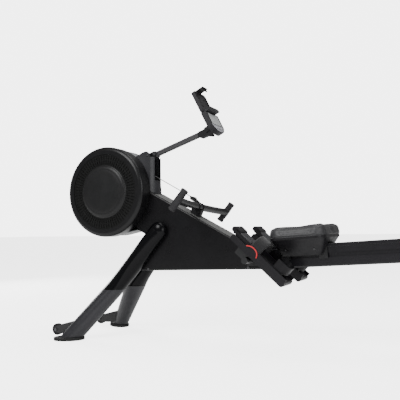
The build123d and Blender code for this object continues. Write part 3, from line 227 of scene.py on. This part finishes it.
def webbed(name, tone, pitch, turn=(0, 0, 0)):
    # woven strap: ribs one way crossed by finer threads the other
    finish, tree, shader = newFinish(name, tone, 0.85, specular=0.25, sheen=0.3)
    where = coordinates(tree, turn=turn)
    across = tree.nodes.new("ShaderNodeTexWave")
    across.inputs["Scale"].default_value = pitch
    across.inputs["Distortion"].default_value = 0.4
    along = tree.nodes.new("ShaderNodeTexWave")
    along.bands_direction = "Y"
    along.inputs["Scale"].default_value = pitch * 1.3
    for wave in (across, along):
        tree.links.new(where, wave.inputs["Vector"])
    weave = tree.nodes.new("ShaderNodeMath")
    weave.operation = "MULTIPLY"
    tree.links.new(across.outputs["Fac"], weave.inputs[0])
    tree.links.new(along.outputs["Fac"], weave.inputs[1])
    tree.links.new(tint(tree, weave.outputs["Value"], shade(tone, 0.7), shade(tone, 1.5)),
                   shader.inputs["Base Color"])
    bumpFrom(tree, shader, weave.outputs["Value"], 0.7, 0.0004)
    return finish


def vinyl(name, tone, rough):
    # upholstery vinyl: pebbled leather grain in small cells
    finish, tree, shader = newFinish(name, tone, rough, specular=0.45)
    where = coordinates(tree)
    cells = tree.nodes.new("ShaderNodeTexVoronoi")
    cells.inputs["Scale"].default_value = 420
    tree.links.new(where, cells.inputs["Vector"])
    cloud = noise(tree, where, 9, 5, 0.6)
    tree.links.new(tint(tree, cloud, shade(tone, 0.85), shade(tone, 1.18)), shader.inputs["Base Color"])
    tree.links.new(spread(tree, cloud, rough * 0.9, rough * 1.12), shader.inputs["Roughness"])
    bumpFrom(tree, shader, cells.outputs["Distance"], 0.55, 0.0003)
    return finish


finishes = {
    "black_steel": coated("blackPowderCoat", (0.012, 0.012, 0.013), 0.42, 0.3),
    "drum_black": moulded("drumPlastic", (0.0062, 0.0062, 0.0068), 0.3, 0.24, 700, 0.00005),
    "grille_black": moulded("grillePlastic", (0.0045, 0.0046, 0.0046), 0.45, 0.2),
    "shroud_grey": moulded("bandPlastic", (0.2, 0.21, 0.215), 0.42, 0.4),
    "body_black": moulded("bodyPlastic", (0.0045, 0.0042, 0.005), 0.3, 0.2, 600, 0.00003),
    "strip_grey": moulded("spinePlastic", (0.13, 0.13, 0.128), 0.45, 0.3),
    "column_grey": moulded("columnPlastic", (0.026, 0.026, 0.029), 0.38, 0.3),
    "leg_gloss": moulded("legGloss", (0.002, 0.002, 0.0026), 0.2, 0.15, 500, 0.00002),
    "leg_satin": coated("legPaint", (0.0175, 0.0175, 0.0205), 0.38, 0.3),
    "bare_steel": brushed("darkSteel", (0.11, 0.11, 0.115), 0.34, (90, 90, 900)),
    "black_rubber": rubbery("blackRubber", (0.012, 0.012, 0.0125), 0.7, 0.25),
    "rail_black": moulded("railPaint", (0.0085, 0.008, 0.0098), 0.24, 0.3, 350, 0.00004),
    "track_steel": brushed("trackSteel", (0.32, 0.32, 0.33), 0.3, (14, 700, 700)),
    "webbing": webbed("strapWebbing", (0.009, 0.009, 0.01), 160),
    "red_loop": webbed("redLoop", (0.5, 0.022, 0.026), 260),
    "pedal_black": moulded("pedalPlastic", (0.0058, 0.0054, 0.0066), 0.44, 0.22),
    "pedal_grey": moulded("solePlastic", (0.06, 0.06, 0.064), 0.55, 0.3),
    "fan_grey": moulded("fanPlastic", (0.09, 0.09, 0.095), 0.45, 0.4),
    "cord_black": webbed("cordBraid", (0.05, 0.05, 0.052), 420, (0, math.radians(45), 0)),
    "grip_grey": rubbery("gripRubber", (0.017, 0.0162, 0.018), 0.6, 0.25),
    "cushion": vinyl("seatVinyl", (0.022, 0.022, 0.024), 0.48),
    "case_grey": moulded("casePlastic", (0.015, 0.0145, 0.0165), 0.42, 0.25),
    "screen": moulded("screenGlass", (0.42, 0.43, 0.43), 0.16, 0.5, 300, 0.00001, coat=0.4),
    "panel_grey": moulded("buttonPanel", (0.27, 0.27, 0.29), 0.45, 0.4),
    "board_green": moulded("circuitBoard", (0.02, 0.12, 0.05), 0.5),
    "button_grey": moulded("buttonPlastic", (0.36, 0.36, 0.38), 0.5),
    "pulley_dark": moulded("pulleyNylon", (0.014, 0.014, 0.015), 0.4),
}
# nodes whose own finish differs a little from the rest of their slot
ownFinishes = {
    "monitor_arm": coated("armPaint", (0.034, 0.033, 0.036), 0.36, 0.35),
    "heel_slide_right": finishes["pedal_black"],
    "heel_slide_left": finishes["pedal_black"],
    "foot_boards": moulded("boardPlastic", (0.0078, 0.0072, 0.0088), 0.4, 0.25),
    "core_caps": moulded("corePlastic", (0.0088, 0.0088, 0.0092), 0.36, 0.24, 700, 0.00005),
}
for part in frame["record"]["subparts"]:
    node = nodes[part["node"]]
    for materialSlot in node.material_slots:
        materialSlot.material = ownFinishes.get(part["node"], finishes[part["material_slot"]])
print("finishes made:", len(finishes) + len(ownFinishes))


def settled(piece):
    # the mesh as its modifiers leave it, with none left on the piece
    shown = piece.evaluated_get(bpy.context.evaluated_depsgraph_get())
    mesh = bpy.data.meshes.new_from_object(shown)
    piece.modifiers.clear()
    piece.data = mesh
    return mesh


def smoothAll(mesh):
    for face in mesh.polygons:
        face.use_smooth = True


def emptyPiece(name):
    piece = bpy.data.objects.new(name, bpy.data.meshes.new(name))
    bpy.context.scene.collection.objects.link(piece)
    return piece


def finishPiece(piece, bm, finish, body, smooth=True):
    # closes a bmesh into its piece, faces outwards, and puts it on its body
    bmesh.ops.remove_doubles(bm, verts=bm.verts, dist=1e-6)
    bmesh.ops.recalc_face_normals(bm, faces=bm.faces)
    bm.to_mesh(piece.data)
    bm.free()
    if smooth:
        smoothAll(piece.data)
    piece.data.materials.append(finishes[finish])
    if body:
        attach(piece, body)
    return piece


def roundedLoop(length, width, corner):
    # the points of a rounded rectangle, in order
    bm = bmesh.new()
    bmesh.ops.create_grid(bm, x_segments=1, y_segments=1, size=0.5)
    bmesh.ops.scale(bm, vec=(length, width, 1), verts=bm.verts)
    bmesh.ops.bevel(bm, geom=list(bm.verts), offset=corner, segments=6, profile=0.5, affect="VERTICES", material=-1)
    face = max(bm.faces, key=lambda f: f.calc_area())
    loop = [v.co.copy() for v in face.verts]
    bm.free()
    return loop


def joinInto(bm, part, place):
    # moves a small bmesh to its place and adds it to a bigger one
    bmesh.ops.transform(part, matrix=place, verts=part.verts)
    holder = bpy.data.meshes.new("holder")
    part.to_mesh(holder)
    part.free()
    bm.from_mesh(holder)
    bpy.data.meshes.remove(holder)


def beadAlong(bm, points, radius, place, closed=True, band=0.0, order=2):
    # a round bead, or a band where it is given a width, along a line of points
    curve = bpy.data.curves.new("bead", "CURVE")
    curve.dimensions = "3D"
    curve.bevel_depth = radius
    curve.bevel_resolution = 2
    curve.extrude = band
    line = curve.splines.new("NURBS")
    line.points.add(len(points) - 1)
    for point, at in zip(line.points, points):
        point.co = (*at, 1)
    line.order_u = order
    line.use_cyclic_u = closed
    line.use_endpoint_u = not closed
    curve.use_fill_caps = not closed
    holder = bpy.data.objects.new("bead", curve)
    bpy.context.scene.collection.objects.link(holder)
    mesh = bpy.data.meshes.new_from_object(holder.evaluated_get(bpy.context.evaluated_depsgraph_get()))
    mesh.transform(place)
    bm.from_mesh(mesh)
    bpy.data.objects.remove(holder)
    bpy.data.curves.remove(curve)
    bpy.data.meshes.remove(mesh)


def socketScrew(bm, at, facing, radius, rise):
    # a pan head with a round-cornered drive hole
    head = bmesh.new()
    bmesh.ops.create_cone(head, cap_ends=True, segments=24, radius1=radius, radius2=radius * 0.9, depth=rise)
    top = max(head.faces, key=lambda f: f.calc_center_median().z)
    bmesh.ops.inset_region(head, faces=[top], thickness=radius * 0.16)
    bmesh.ops.translate(head, vec=(0, 0, rise * 0.18), verts=top.verts)
    bmesh.ops.inset_region(head, faces=[top], thickness=radius * 0.34)
    bmesh.ops.inset_region(head, faces=[top], thickness=radius * 0.03)
    bmesh.ops.translate(head, vec=(0, 0, -rise * 0.6), verts=top.verts)
    turn = Vector(facing).to_track_quat("Z", "Y").to_matrix().to_4x4()
    joinInto(bm, head, Matrix.Translation(at) @ turn @ Matrix.Translation((0, 0, rise * 0.25)))


def surfaceOf(nodeName, origin, direction):
    # the point and the way out where a line first meets a node
    mesh = nodes[nodeName].data
    tree = BVHTree.FromPolygons([v.co for v in mesh.vertices], [p.vertices for p in mesh.polygons])
    at, normal, index, distance = tree.ray_cast(Vector(origin), Vector(direction).normalized())
    if at is None:
        return None, None
    return at, normal if normal.dot(Vector(direction)) < 0 else -normal


# seat cushion: a foam block under vinyl, filled out by a short cloth run
seatPlace = Matrix.Translation(railDatum) @ Matrix.Rotation(-railSlope, 4, "Y") @ Matrix.Translation(
    (seatStation, 0, 0))
cushionSpec = {"length": 0.232, "width": 0.309, "seam": 0.0358, "height": 0.037, "corner": 0.044,
               "shoulder": 0.014, "voxel": 0.005, "pressure": 4.0, "travel": 0.006, "frames": 20,
               "tailRise": 0.006, "hollow": 0.006, "notch": 0.012}


def roundedBlock(bm, length, width, height, corner, shoulder, foot=0.004):
    bmesh.ops.create_cube(bm, size=1)
    bmesh.ops.scale(bm, vec=(length, width, height), verts=bm.verts)
    bmesh.ops.translate(bm, vec=(0, 0, height / 2), verts=bm.verts)
    upright = [e for e in bm.edges if abs(e.verts[0].co.z - e.verts[1].co.z) > height / 2]
    bmesh.ops.bevel(bm, geom=upright, offset=corner, segments=8, profile=0.5, affect="EDGES", material=-1)
    for up, offset in ((1, shoulder), (-1, foot)):
        lid = max(bm.faces, key=lambda f: f.normal.z * up + (f.calc_area() if abs(f.normal.z) > 0.9 else 0))
        bmesh.ops.bevel(bm, geom=list(lid.edges), offset=offset, segments=4, profile=0.5, affect="EDGES",
                        material=-1)


def makeCushion():
    spec = cushionSpec
    bm = bmesh.new()
    roundedBlock(bm, spec["length"], spec["width"], spec["height"], spec["corner"], spec["shoulder"])
    cushion = emptyPiece("seatCushion")
    bm.to_mesh(cushion.data)
    bm.free()
    remesh = cushion.modifiers.new("evenMesh", "REMESH")
    remesh.mode = "VOXEL"
    remesh.voxel_size = spec["voxel"]
    mesh = settled(cushion)
    held = cushion.vertex_groups.new(name="held")
    held.add([v.index for v in mesh.vertices if v.co.z < 0.003], 1.0, "REPLACE")
    start = [v.co.copy() for v in mesh.vertices]
    cloth = cushion.modifiers.new("foam", "CLOTH")
    cloth.settings.use_pressure = True
    cloth.settings.uniform_pressure_force = spec["pressure"]
    cloth.settings.effector_weights.gravity = 0
    cloth.settings.vertex_group_mass = "held"
    cloth.point_cache.frame_end = spec["frames"]
    for number in range(1, spec["frames"] + 1):
        bpy.context.scene.frame_set(number)
    mesh = settled(cushion)
    bpy.context.scene.frame_set(1)
    half, side = spec["length"] / 2, spec["width"] / 2
    for vertex, rest in zip(mesh.vertices, start):
        step = vertex.co - rest
        if step.length > spec["travel"]:
            vertex.co = rest + step.normalized() * spec["travel"]
        along, across = vertex.co.x / half, vertex.co.y / side
        lift = max(0.0, min(1.0, rest.z / spec["height"]))
        tail = max(0.0, along) ** 2 * spec["tailRise"]
        dish = spec["hollow"] * math.exp(-((along - 0.05) / 0.5) ** 2) * math.exp(
            -((abs(across) - 0.42) / 0.34) ** 2)
        gap = spec["notch"] * math.exp(-(across / 0.13) ** 2) * max(0.0, along - 0.35) / 0.65
        vertex.co.z = max(0.0, vertex.co.z + lift * (tail - dish - gap * 0.7))
        if along > 0.7:
            vertex.co.x -= gap * lift
    finer = cushion.modifiers.new("finer", "SUBSURF")
    finer.levels = 1
    finer.render_levels = 1
    mesh = settled(cushion)
    mesh.transform(seatPlace @ Matrix.Translation((0, 0, spec["seam"])))
    smoothAll(mesh)
    mesh.materials.clear()
    mesh.materials.append(finishes["cushion"])
    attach(cushion, "seat")
    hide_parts("seat_cushion")


makeCushion()
print("cushion made")

# pull cord: taut between the column's slot and the yoke, so it is straight at every reach
pullCord = {"exit": stationed(0.4484, 0, 0.75558), "hook": stationed(0.640, 0, 0.6502), "radius": 0.002,
            "sides": 16}


def tubeBetween(bm, start, end, radius, sides):
    # a straight closed tube with one ring of points at each end
    length = (end - start).length
    place = Matrix.Translation((start + end) / 2) @ (end - start).to_track_quat("Z", "Y").to_matrix().to_4x4()
    bmesh.ops.create_cone(bm, cap_ends=True, segments=sides, radius1=radius, radius2=radius, depth=length,
                          matrix=place)


bm = bmesh.new()
tubeBetween(bm, pullCord["exit"], pullCord["hook"], pullCord["radius"], pullCord["sides"])
cordPiece = finishPiece(emptyPiece("pullCord"), bm, "cord_black", None)
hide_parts("pull_cord")
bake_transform(cordPiece)
print("cord made")

# handle grips: soft sleeves with finger ribs and a stop ring at each end
gripSpec = {"centre": stationed(0.678, 0, 0.603), "reach": 0.243, "back": 0.026, "half": 0.052,
            "radius": 0.0164, "lean": 38.0, "tilt": -4.6, "ribs": 15, "ribHeight": 0.00055, "steps": 40}


def makeGrips():
    spec = gripSpec
    bm = bmesh.new()
    for side in (-1, 1):
        profile = [(0.0, -spec["half"]), (spec["radius"] - 0.003, -spec["half"]),
                   (spec["radius"] - 0.0008, -spec["half"] + 0.001), (spec["radius"], -spec["half"] + 0.003),
                   (spec["radius"], -spec["half"] + 0.007), (spec["radius"] - 0.0009, -spec["half"] + 0.0085)]
        body = 2 * (spec["half"] - 0.011)
        for rib in range(spec["ribs"]):
            start = -spec["half"] + 0.011 + body * rib / spec["ribs"]
            pitch = body / spec["ribs"]
            swell = 0.0007 * math.cos(math.pi * (rib + 0.5) / spec["ribs"] * 2 - math.pi)
            low = spec["radius"] - 0.0012 + swell
            profile += [(low, start + 0.08 * pitch), (low + spec["ribHeight"], start + 0.3 * pitch),
                        (low + spec["ribHeight"], start + 0.7 * pitch), (low, start + 0.92 * pitch)]
        profile += [(radius, -height) for radius, height in reversed(profile[:6])]
        sleeve = bmesh.new()
        corners = [sleeve.verts.new((radius, 0, height)) for radius, height in profile]
        edges = [sleeve.edges.new(pair) for pair in zip(corners, corners[1:])]
        bmesh.ops.spin(sleeve, geom=corners + edges, axis=(0, 0, 1), cent=(0, 0, 0), angle=2 * math.pi,
                       steps=spec["steps"], use_merge=True)
        bmesh.ops.remove_doubles(sleeve, verts=sleeve.verts, dist=1e-6)
        place = (Matrix.Translation(spec["centre"]) @ Matrix.Rotation(math.radians(spec["tilt"]), 4, "X")
                 @ Matrix.Translation((spec["back"], side * spec["reach"], 0))
                 @ Matrix.Rotation(math.radians(spec["lean"]), 4, "Y"))
        joinInto(bm, sleeve, place)
    grips = finishPiece(emptyPiece("handleGrips"), bm, "grip_grey", "handle")
    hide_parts("handle_grips")


makeGrips()
print("grips made")

# seat trim: a bead along the seam, and the screws that hold the tray
seatTrim = {"length": 0.2215, "width": 0.3005, "corner": 0.0405, "bead": 0.0021, "height": 0.0352,
            "screws": [(0.056, 0.5, -0.016), (-0.062, 0.5, -0.016)], "screwRadius": 0.0048, "screwRise": 0.003}


def makeSeatTrim():
    spec = seatTrim
    bm = bmesh.new()
    beadAlong(bm, roundedLoop(spec["length"], spec["width"], spec["corner"]), spec["bead"],
              seatPlace @ Matrix.Translation((0, 0, spec["height"])))
    finishPiece(emptyPiece("seatSeamBead"), bm, "cushion", "seat")
    bm = bmesh.new()
    for along, reach, height in spec["screws"]:
        for side in (-1, 1):
            start = seatPlace @ Vector((along, side * reach, height))
            at, normal = surfaceOf("seat_base", start, (0, -side, 0))
            socketScrew(bm, at, normal, spec["screwRadius"], spec["screwRise"])
    finishPiece(emptyPiece("seatScrews"), bm, "bare_steel", "seat", smooth=False)


makeSeatTrim()
print("seat trim made")

# footrest: woven straps with stitched edges, red pull loops, and ribbed toe pads on the soles
footrest = {"corner": stationed(0.900, 0, 0.463), "plane": 0.117, "slope": 42.3, "strapAlong": 0.113,
            "strapWidth": 0.052, "half": 0.0525, "low": 0.0384, "tuck": 0.022, "high": 0.093, "thick": 0.0026,
            "stitch": (0.0032, 0.0007, 0.0006), "stitchGap": 0.0052, "stitchInset": 0.0042, "stitchRun": 0.188,
            "loopPath": [(-0.038, 0.028), (-0.024, 0.040), (0.000, 0.044), (0.020, 0.034), (0.025, 0.018)],
            "loopOut": 0.0555, "loopBand": 0.0016,
            "padAlong": (0.012, 0.078), "padHalf": 0.036, "padTop": 0.0416, "padThick": 0.0026, "padRibs": 9,
            "padBevel": 0.0008, "ribRadius": 0.0016, "ribInset": 0.004, "strapWear": 0.0006, "stitchLift": 0.0002,
            "stitchedShare": 0.8, "loopThick": 0.0009}


def boardPlace(side):
    spec = footrest
    return (Matrix.Translation(spec["corner"] + Vector((0, side * spec["plane"], 0)))
            @ Matrix.Rotation(math.radians(spec["slope"]), 4, "Y"))


def archPoint(share, lift=0.0):
    # a point of the strap's arch, from one tuck (-1) over the top to the other (1)
    spec = footrest
    spring = spec["low"] + spec["tuck"]
    rise = spec["high"] - spring
    radius = (spec["half"] ** 2 + rise ** 2) / (2 * rise)
    swing = math.asin(spec["half"] / radius)
    arc = radius * swing
    along = abs(share) * (arc + spec["tuck"])
    sign = -1 if share < 0 else 1
    if along > arc:
        return Vector((0, sign * (spec["half"] + lift), spring - (along - arc)))
    turn = along / radius
    reach = radius + lift
    return Vector((0, sign * reach * math.sin(turn), spec["high"] - radius + reach * math.cos(turn)))


def makeStraps():
    spec = footrest
    straps, stitches, loops = bmesh.new(), bmesh.new(), bmesh.new()
    for side in (-1, 1):
        place = boardPlace(side) @ Matrix.Translation((spec["strapAlong"], 0, 0))
        band = bmesh.new()
        bmesh.ops.create_grid(band, x_segments=6, y_segments=56, size=1)
        for vertex in band.verts:
            edge = abs(vertex.co.x) ** 6 * spec["strapWear"]
            point = archPoint(vertex.co.y, -edge - spec["thick"])
            vertex.co = Vector((vertex.co.x * spec["strapWidth"] / 2, point.y, point.z))
        bmesh.ops.recalc_face_normals(band, faces=band.faces)
        bmesh.ops.solidify(band, geom=list(band.faces), thickness=spec["thick"])
        joinInto(straps, band, place)
        steps = int(spec["stitchRun"] / spec["stitchGap"])
        for number in range(1, steps):
            share = 2 * number / steps - 1
            if abs(share) > spec["stitchedShare"]:
                continue
            at, after = (archPoint(share + ahead, spec["stitchLift"]) for ahead in (0, 0.01))
            heading = (after - at).normalized()
            up = Vector((1, 0, 0)).cross(heading)
            turn = Matrix((heading, up.cross(heading), up)).transposed().to_4x4()
            for edge in (-1, 1):
                stitch = bmesh.new()
                bmesh.ops.create_cube(stitch, size=1)
                bmesh.ops.scale(stitch, vec=spec["stitch"], verts=stitch.verts)
                across = edge * (spec["strapWidth"] / 2 - spec["stitchInset"])
                joinInto(stitches, stitch, place @ Matrix.Translation(at + Vector((across, 0, 0))) @ turn)
        path = [(along, side * spec["loopOut"], height) for along, height in spec["loopPath"]]
        beadAlong(loops, path, spec["loopThick"], place, closed=False, band=spec["loopBand"], order=4)
    strapPiece = finishPiece(emptyPiece("footStraps"), straps, "webbing", "frame")
    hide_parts("foot_straps")
    finishPiece(emptyPiece("strapStitches"), stitches, "pedal_grey", "frame", smooth=False)
    loopPiece = finishPiece(emptyPiece("strapLoops"), loops, "red_loop", "frame")
    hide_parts("strap_tabs")


def makeToePads():
    spec = footrest
    for side, body in ((-1, "right_heel"), (1, "left_heel")):
        bm = bmesh.new()
        low, high = spec["padAlong"]
        pad = bmesh.new()
        bmesh.ops.create_cube(pad, size=1)
        bmesh.ops.scale(pad, vec=(high - low, 2 * spec["padHalf"], spec["padThick"]), verts=pad.verts)
        bmesh.ops.bevel(pad, geom=list(pad.edges), offset=spec["padBevel"], segments=2, profile=0.5,
                        affect="EDGES", material=-1)
        middle = ((low + high) / 2, 0, spec["padTop"] + spec["padThick"] / 2)
        joinInto(bm, pad, boardPlace(side) @ Matrix.Translation(middle))
        for number in range(spec["padRibs"]):
            rib = bmesh.new()
            bmesh.ops.create_cone(rib, cap_ends=True, segments=10, radius1=spec["ribRadius"],
                                  radius2=spec["ribRadius"], depth=2 * (spec["padHalf"] - spec["ribInset"]))
            along = low + (high - low) * (number + 0.7) / (spec["padRibs"] + 0.4)
            joinInto(bm, rib, boardPlace(side) @ Matrix.Translation((along, 0, spec["padTop"] + spec["padThick"]))
                     @ Matrix.Rotation(math.pi / 2, 4, "X"))
        finishPiece(emptyPiece("toePad_" + body.split("_")[0]), bm, "pedal_grey", body, smooth=False)


makeStraps()
makeToePads()
print("footrest made")

# fan grilles: fine radial ribs over a dark sheet that is painted shade, standing in for the shade inside the drum
grille = {"centre": stationed(0.236, 0, 0.684), "faces": {-1: 0.118, 1: 0.086}, "inner": 0.1275, "outer": 0.1745,
          "ribs": 144, "ribWidth": 0.0011, "ribHeight": 0.0016, "ribDepth": 0.0026,
          "hoops": (0.139, 0.151, 0.163), "hoopPoints": 48, "hoopRadius": 0.0006,
          "shadeSheetDepth": 0.0078, "shadeSheetThick": 0.0005, "shadeSheetLap": 0.001}


def makeGrilles():
    spec = grille
    ribs, shadeSheets = bmesh.new(), bmesh.new()
    for side, face in spec["faces"].items():
        middle = spec["centre"] + Vector((0, side * (face - spec["ribDepth"]), 0))
        outward = Matrix.Translation(middle) @ Matrix.Rotation(-side * math.pi / 2, 4, "X")
        for number in range(spec["ribs"]):
            rib = bmesh.new()
            bmesh.ops.create_cube(rib, size=1)
            size = (spec["outer"] - spec["inner"], spec["ribWidth"], spec["ribHeight"])
            bmesh.ops.scale(rib, vec=size, verts=rib.verts)
            bmesh.ops.translate(rib, vec=((spec["outer"] + spec["inner"]) / 2, 0, 0), verts=rib.verts)
            joinInto(ribs, rib, outward @ Matrix.Rotation(2 * math.pi * (number + 0.5) / spec["ribs"], 4, "Z"))
        for radius in spec["hoops"]:
            turns = [2 * math.pi * number / spec["hoopPoints"] for number in range(spec["hoopPoints"])]
            hoop = [(radius * math.cos(turn), radius * math.sin(turn), 0) for turn in turns]
            beadAlong(ribs, hoop, spec["hoopRadius"], outward, order=4)
        # a dark ring behind the slots: painted shade, a sheet that hides the view through the drum so the slots
        # read dark
        screen = bmesh.new()
        bmesh.ops.create_circle(screen, cap_ends=True, segments=96, radius=spec["outer"] + spec["shadeSheetLap"])
        middle = list(screen.faces)
        bmesh.ops.inset_region(screen, faces=middle, use_boundary=True, thickness=spec["outer"] - spec["inner"])
        bmesh.ops.delete(screen, geom=middle, context="FACES")
        bmesh.ops.solidify(screen, geom=list(screen.faces), thickness=spec["shadeSheetThick"])
        joinInto(shadeSheets, screen, outward @ Matrix.Translation((0, 0, -spec["shadeSheetDepth"])))
    finishPiece(emptyPiece("grilleRibs"), ribs, "grille_black", "frame", smooth=False)
    finishPiece(emptyPiece("grilleShadeSheets"), shadeSheets, "grille_black", "frame", smooth=False)


makeGrilles()
print("grilles made")

# console: a raised frame round the screen, and rubber ribs on the device holder
consoleSpec = {"pivot": stationed(0.730, 0, 0.944), "lean": -27.0, "front": 0.053, "windowLow": -0.0004,
               "windowHigh": 0.0574, "windowHalf": 0.0514, "rim": 0.0032, "proud": 0.0011,
               "frameCorner": 0.004, "padAcross": (-0.034, 0.034), "padHalf": 0.016, "padRise": 0.082,
               "padFace": 0.041, "padRows": 4, "padGap": 0.022, "padRadius": 0.0016}


def makeConsoleTrim():
    spec = consoleSpec
    place = Matrix.Translation(spec["pivot"]) @ Matrix.Rotation(math.radians(spec["lean"]), 4, "Y")
    bm, rim = bmesh.new(), bmesh.new()
    wide, high = 2 * (spec["windowHalf"] + spec["rim"]), spec["windowHigh"] - spec["windowLow"] + 2 * spec["rim"]
    bmesh.ops.create_grid(rim, x_segments=1, y_segments=1, size=0.5)
    bmesh.ops.scale(rim, vec=(wide, high, 1), verts=rim.verts)
    bmesh.ops.bevel(rim, geom=list(rim.verts), offset=spec["frameCorner"], segments=4, profile=0.5,
                    affect="VERTICES", material=-1)
    pane = max(rim.faces, key=lambda f: f.calc_area())
    bmesh.ops.inset_region(rim, faces=[pane], use_boundary=True, thickness=spec["rim"])
    bmesh.ops.delete(rim, geom=[pane], context="FACES")
    bmesh.ops.solidify(rim, geom=list(rim.faces), thickness=spec["proud"])
    middle = (spec["windowLow"] + spec["windowHigh"]) / 2
    joinInto(bm, rim, place @ Matrix.Translation((spec["front"], 0, middle)) @ Matrix.Rotation(math.pi / 2, 4, "Y")
             @ Matrix.Rotation(math.pi / 2, 4, "Z"))
    finishPiece(emptyPiece("screenFrame"), bm, "case_grey", "console", smooth=False)
    bm = bmesh.new()
    for across in spec["padAcross"]:
        for row in range(spec["padRows"]):
            height = spec["padRise"] + row * spec["padGap"]
            ends = [(spec["padFace"], across + way * spec["padHalf"], height) for way in (-1, 1)]
            beadAlong(bm, ends, spec["padRadius"], place, closed=False)
    finishPiece(emptyPiece("holderGripRibs"), bm, "black_rubber", "console")


makeConsoleTrim()
print("console trim made")

# fixings that the frame shows: knee screws inside the legs, and the bolts of the column
fixings = {"knee": [(0.268, 0.258), (0.281, 0.268), (0.293, 0.279)], "kneeRadius": 0.0042, "kneeRise": 0.0026,
           "columnBolt": (0.434, 0.852), "columnHalf": 0.045, "boltRadius": 0.0065, "boltRise": 0.004}


def makeFixings():
    spec = fixings
    bm = bmesh.new()
    for side in (-1, 1):
        for station, height in spec["knee"]:
            at, normal = surfaceOf("leg_covers", stationed(station, 0, height), (0, side, 0))
            if at is not None:
                socketScrew(bm, at, normal, spec["kneeRadius"], spec["kneeRise"])
        bolt = stationed(spec["columnBolt"][0], side * spec["columnHalf"], spec["columnBolt"][1])
        socketScrew(bm, bolt, (0, side, 0), spec["boltRadius"], spec["boltRise"])
    finishPiece(emptyPiece("frameScrews"), bm, "bare_steel", "frame", smooth=False)


makeFixings()
print("fixings made")

# floor
floorMesh = bpy.data.meshes.new("studioFloor")
bm = bmesh.new()
bmesh.ops.create_grid(bm, x_segments=1, y_segments=1, size=40)
bm.to_mesh(floorMesh)
bm.free()
floor = bpy.data.objects.new("studioFloor", floorMesh)
bpy.context.scene.collection.objects.link(floor)
floorFinish, floorTree, floorShader = newFinish("paleFloor", studio["floorTone"], 0.85, specular=0.2)
floorCloud = noise(floorTree, coordinates(floorTree), 1.5, 3)
floorTree.links.new(tint(floorTree, floorCloud, shade(studio["floorTone"], 0.99), studio["floorTone"]),
                    floorShader.inputs["Base Color"])
floorShader.inputs["Emission Color"].default_value = (1, 1, 1, 1)
floorRay = floorTree.nodes.new("ShaderNodeLightPath")
floorLevel = floorTree.nodes.new("ShaderNodeMapRange")
floorLevel.inputs["To Min"].default_value = studio["floorLight"]
floorLevel.inputs["To Max"].default_value = studio["floorGlow"]
floorTree.links.new(floorRay.outputs["Is Camera Ray"], floorLevel.inputs["Value"])
floorTree.links.new(floorLevel.outputs["Result"], floorShader.inputs["Emission Strength"])
floorMesh.materials.append(floorFinish)
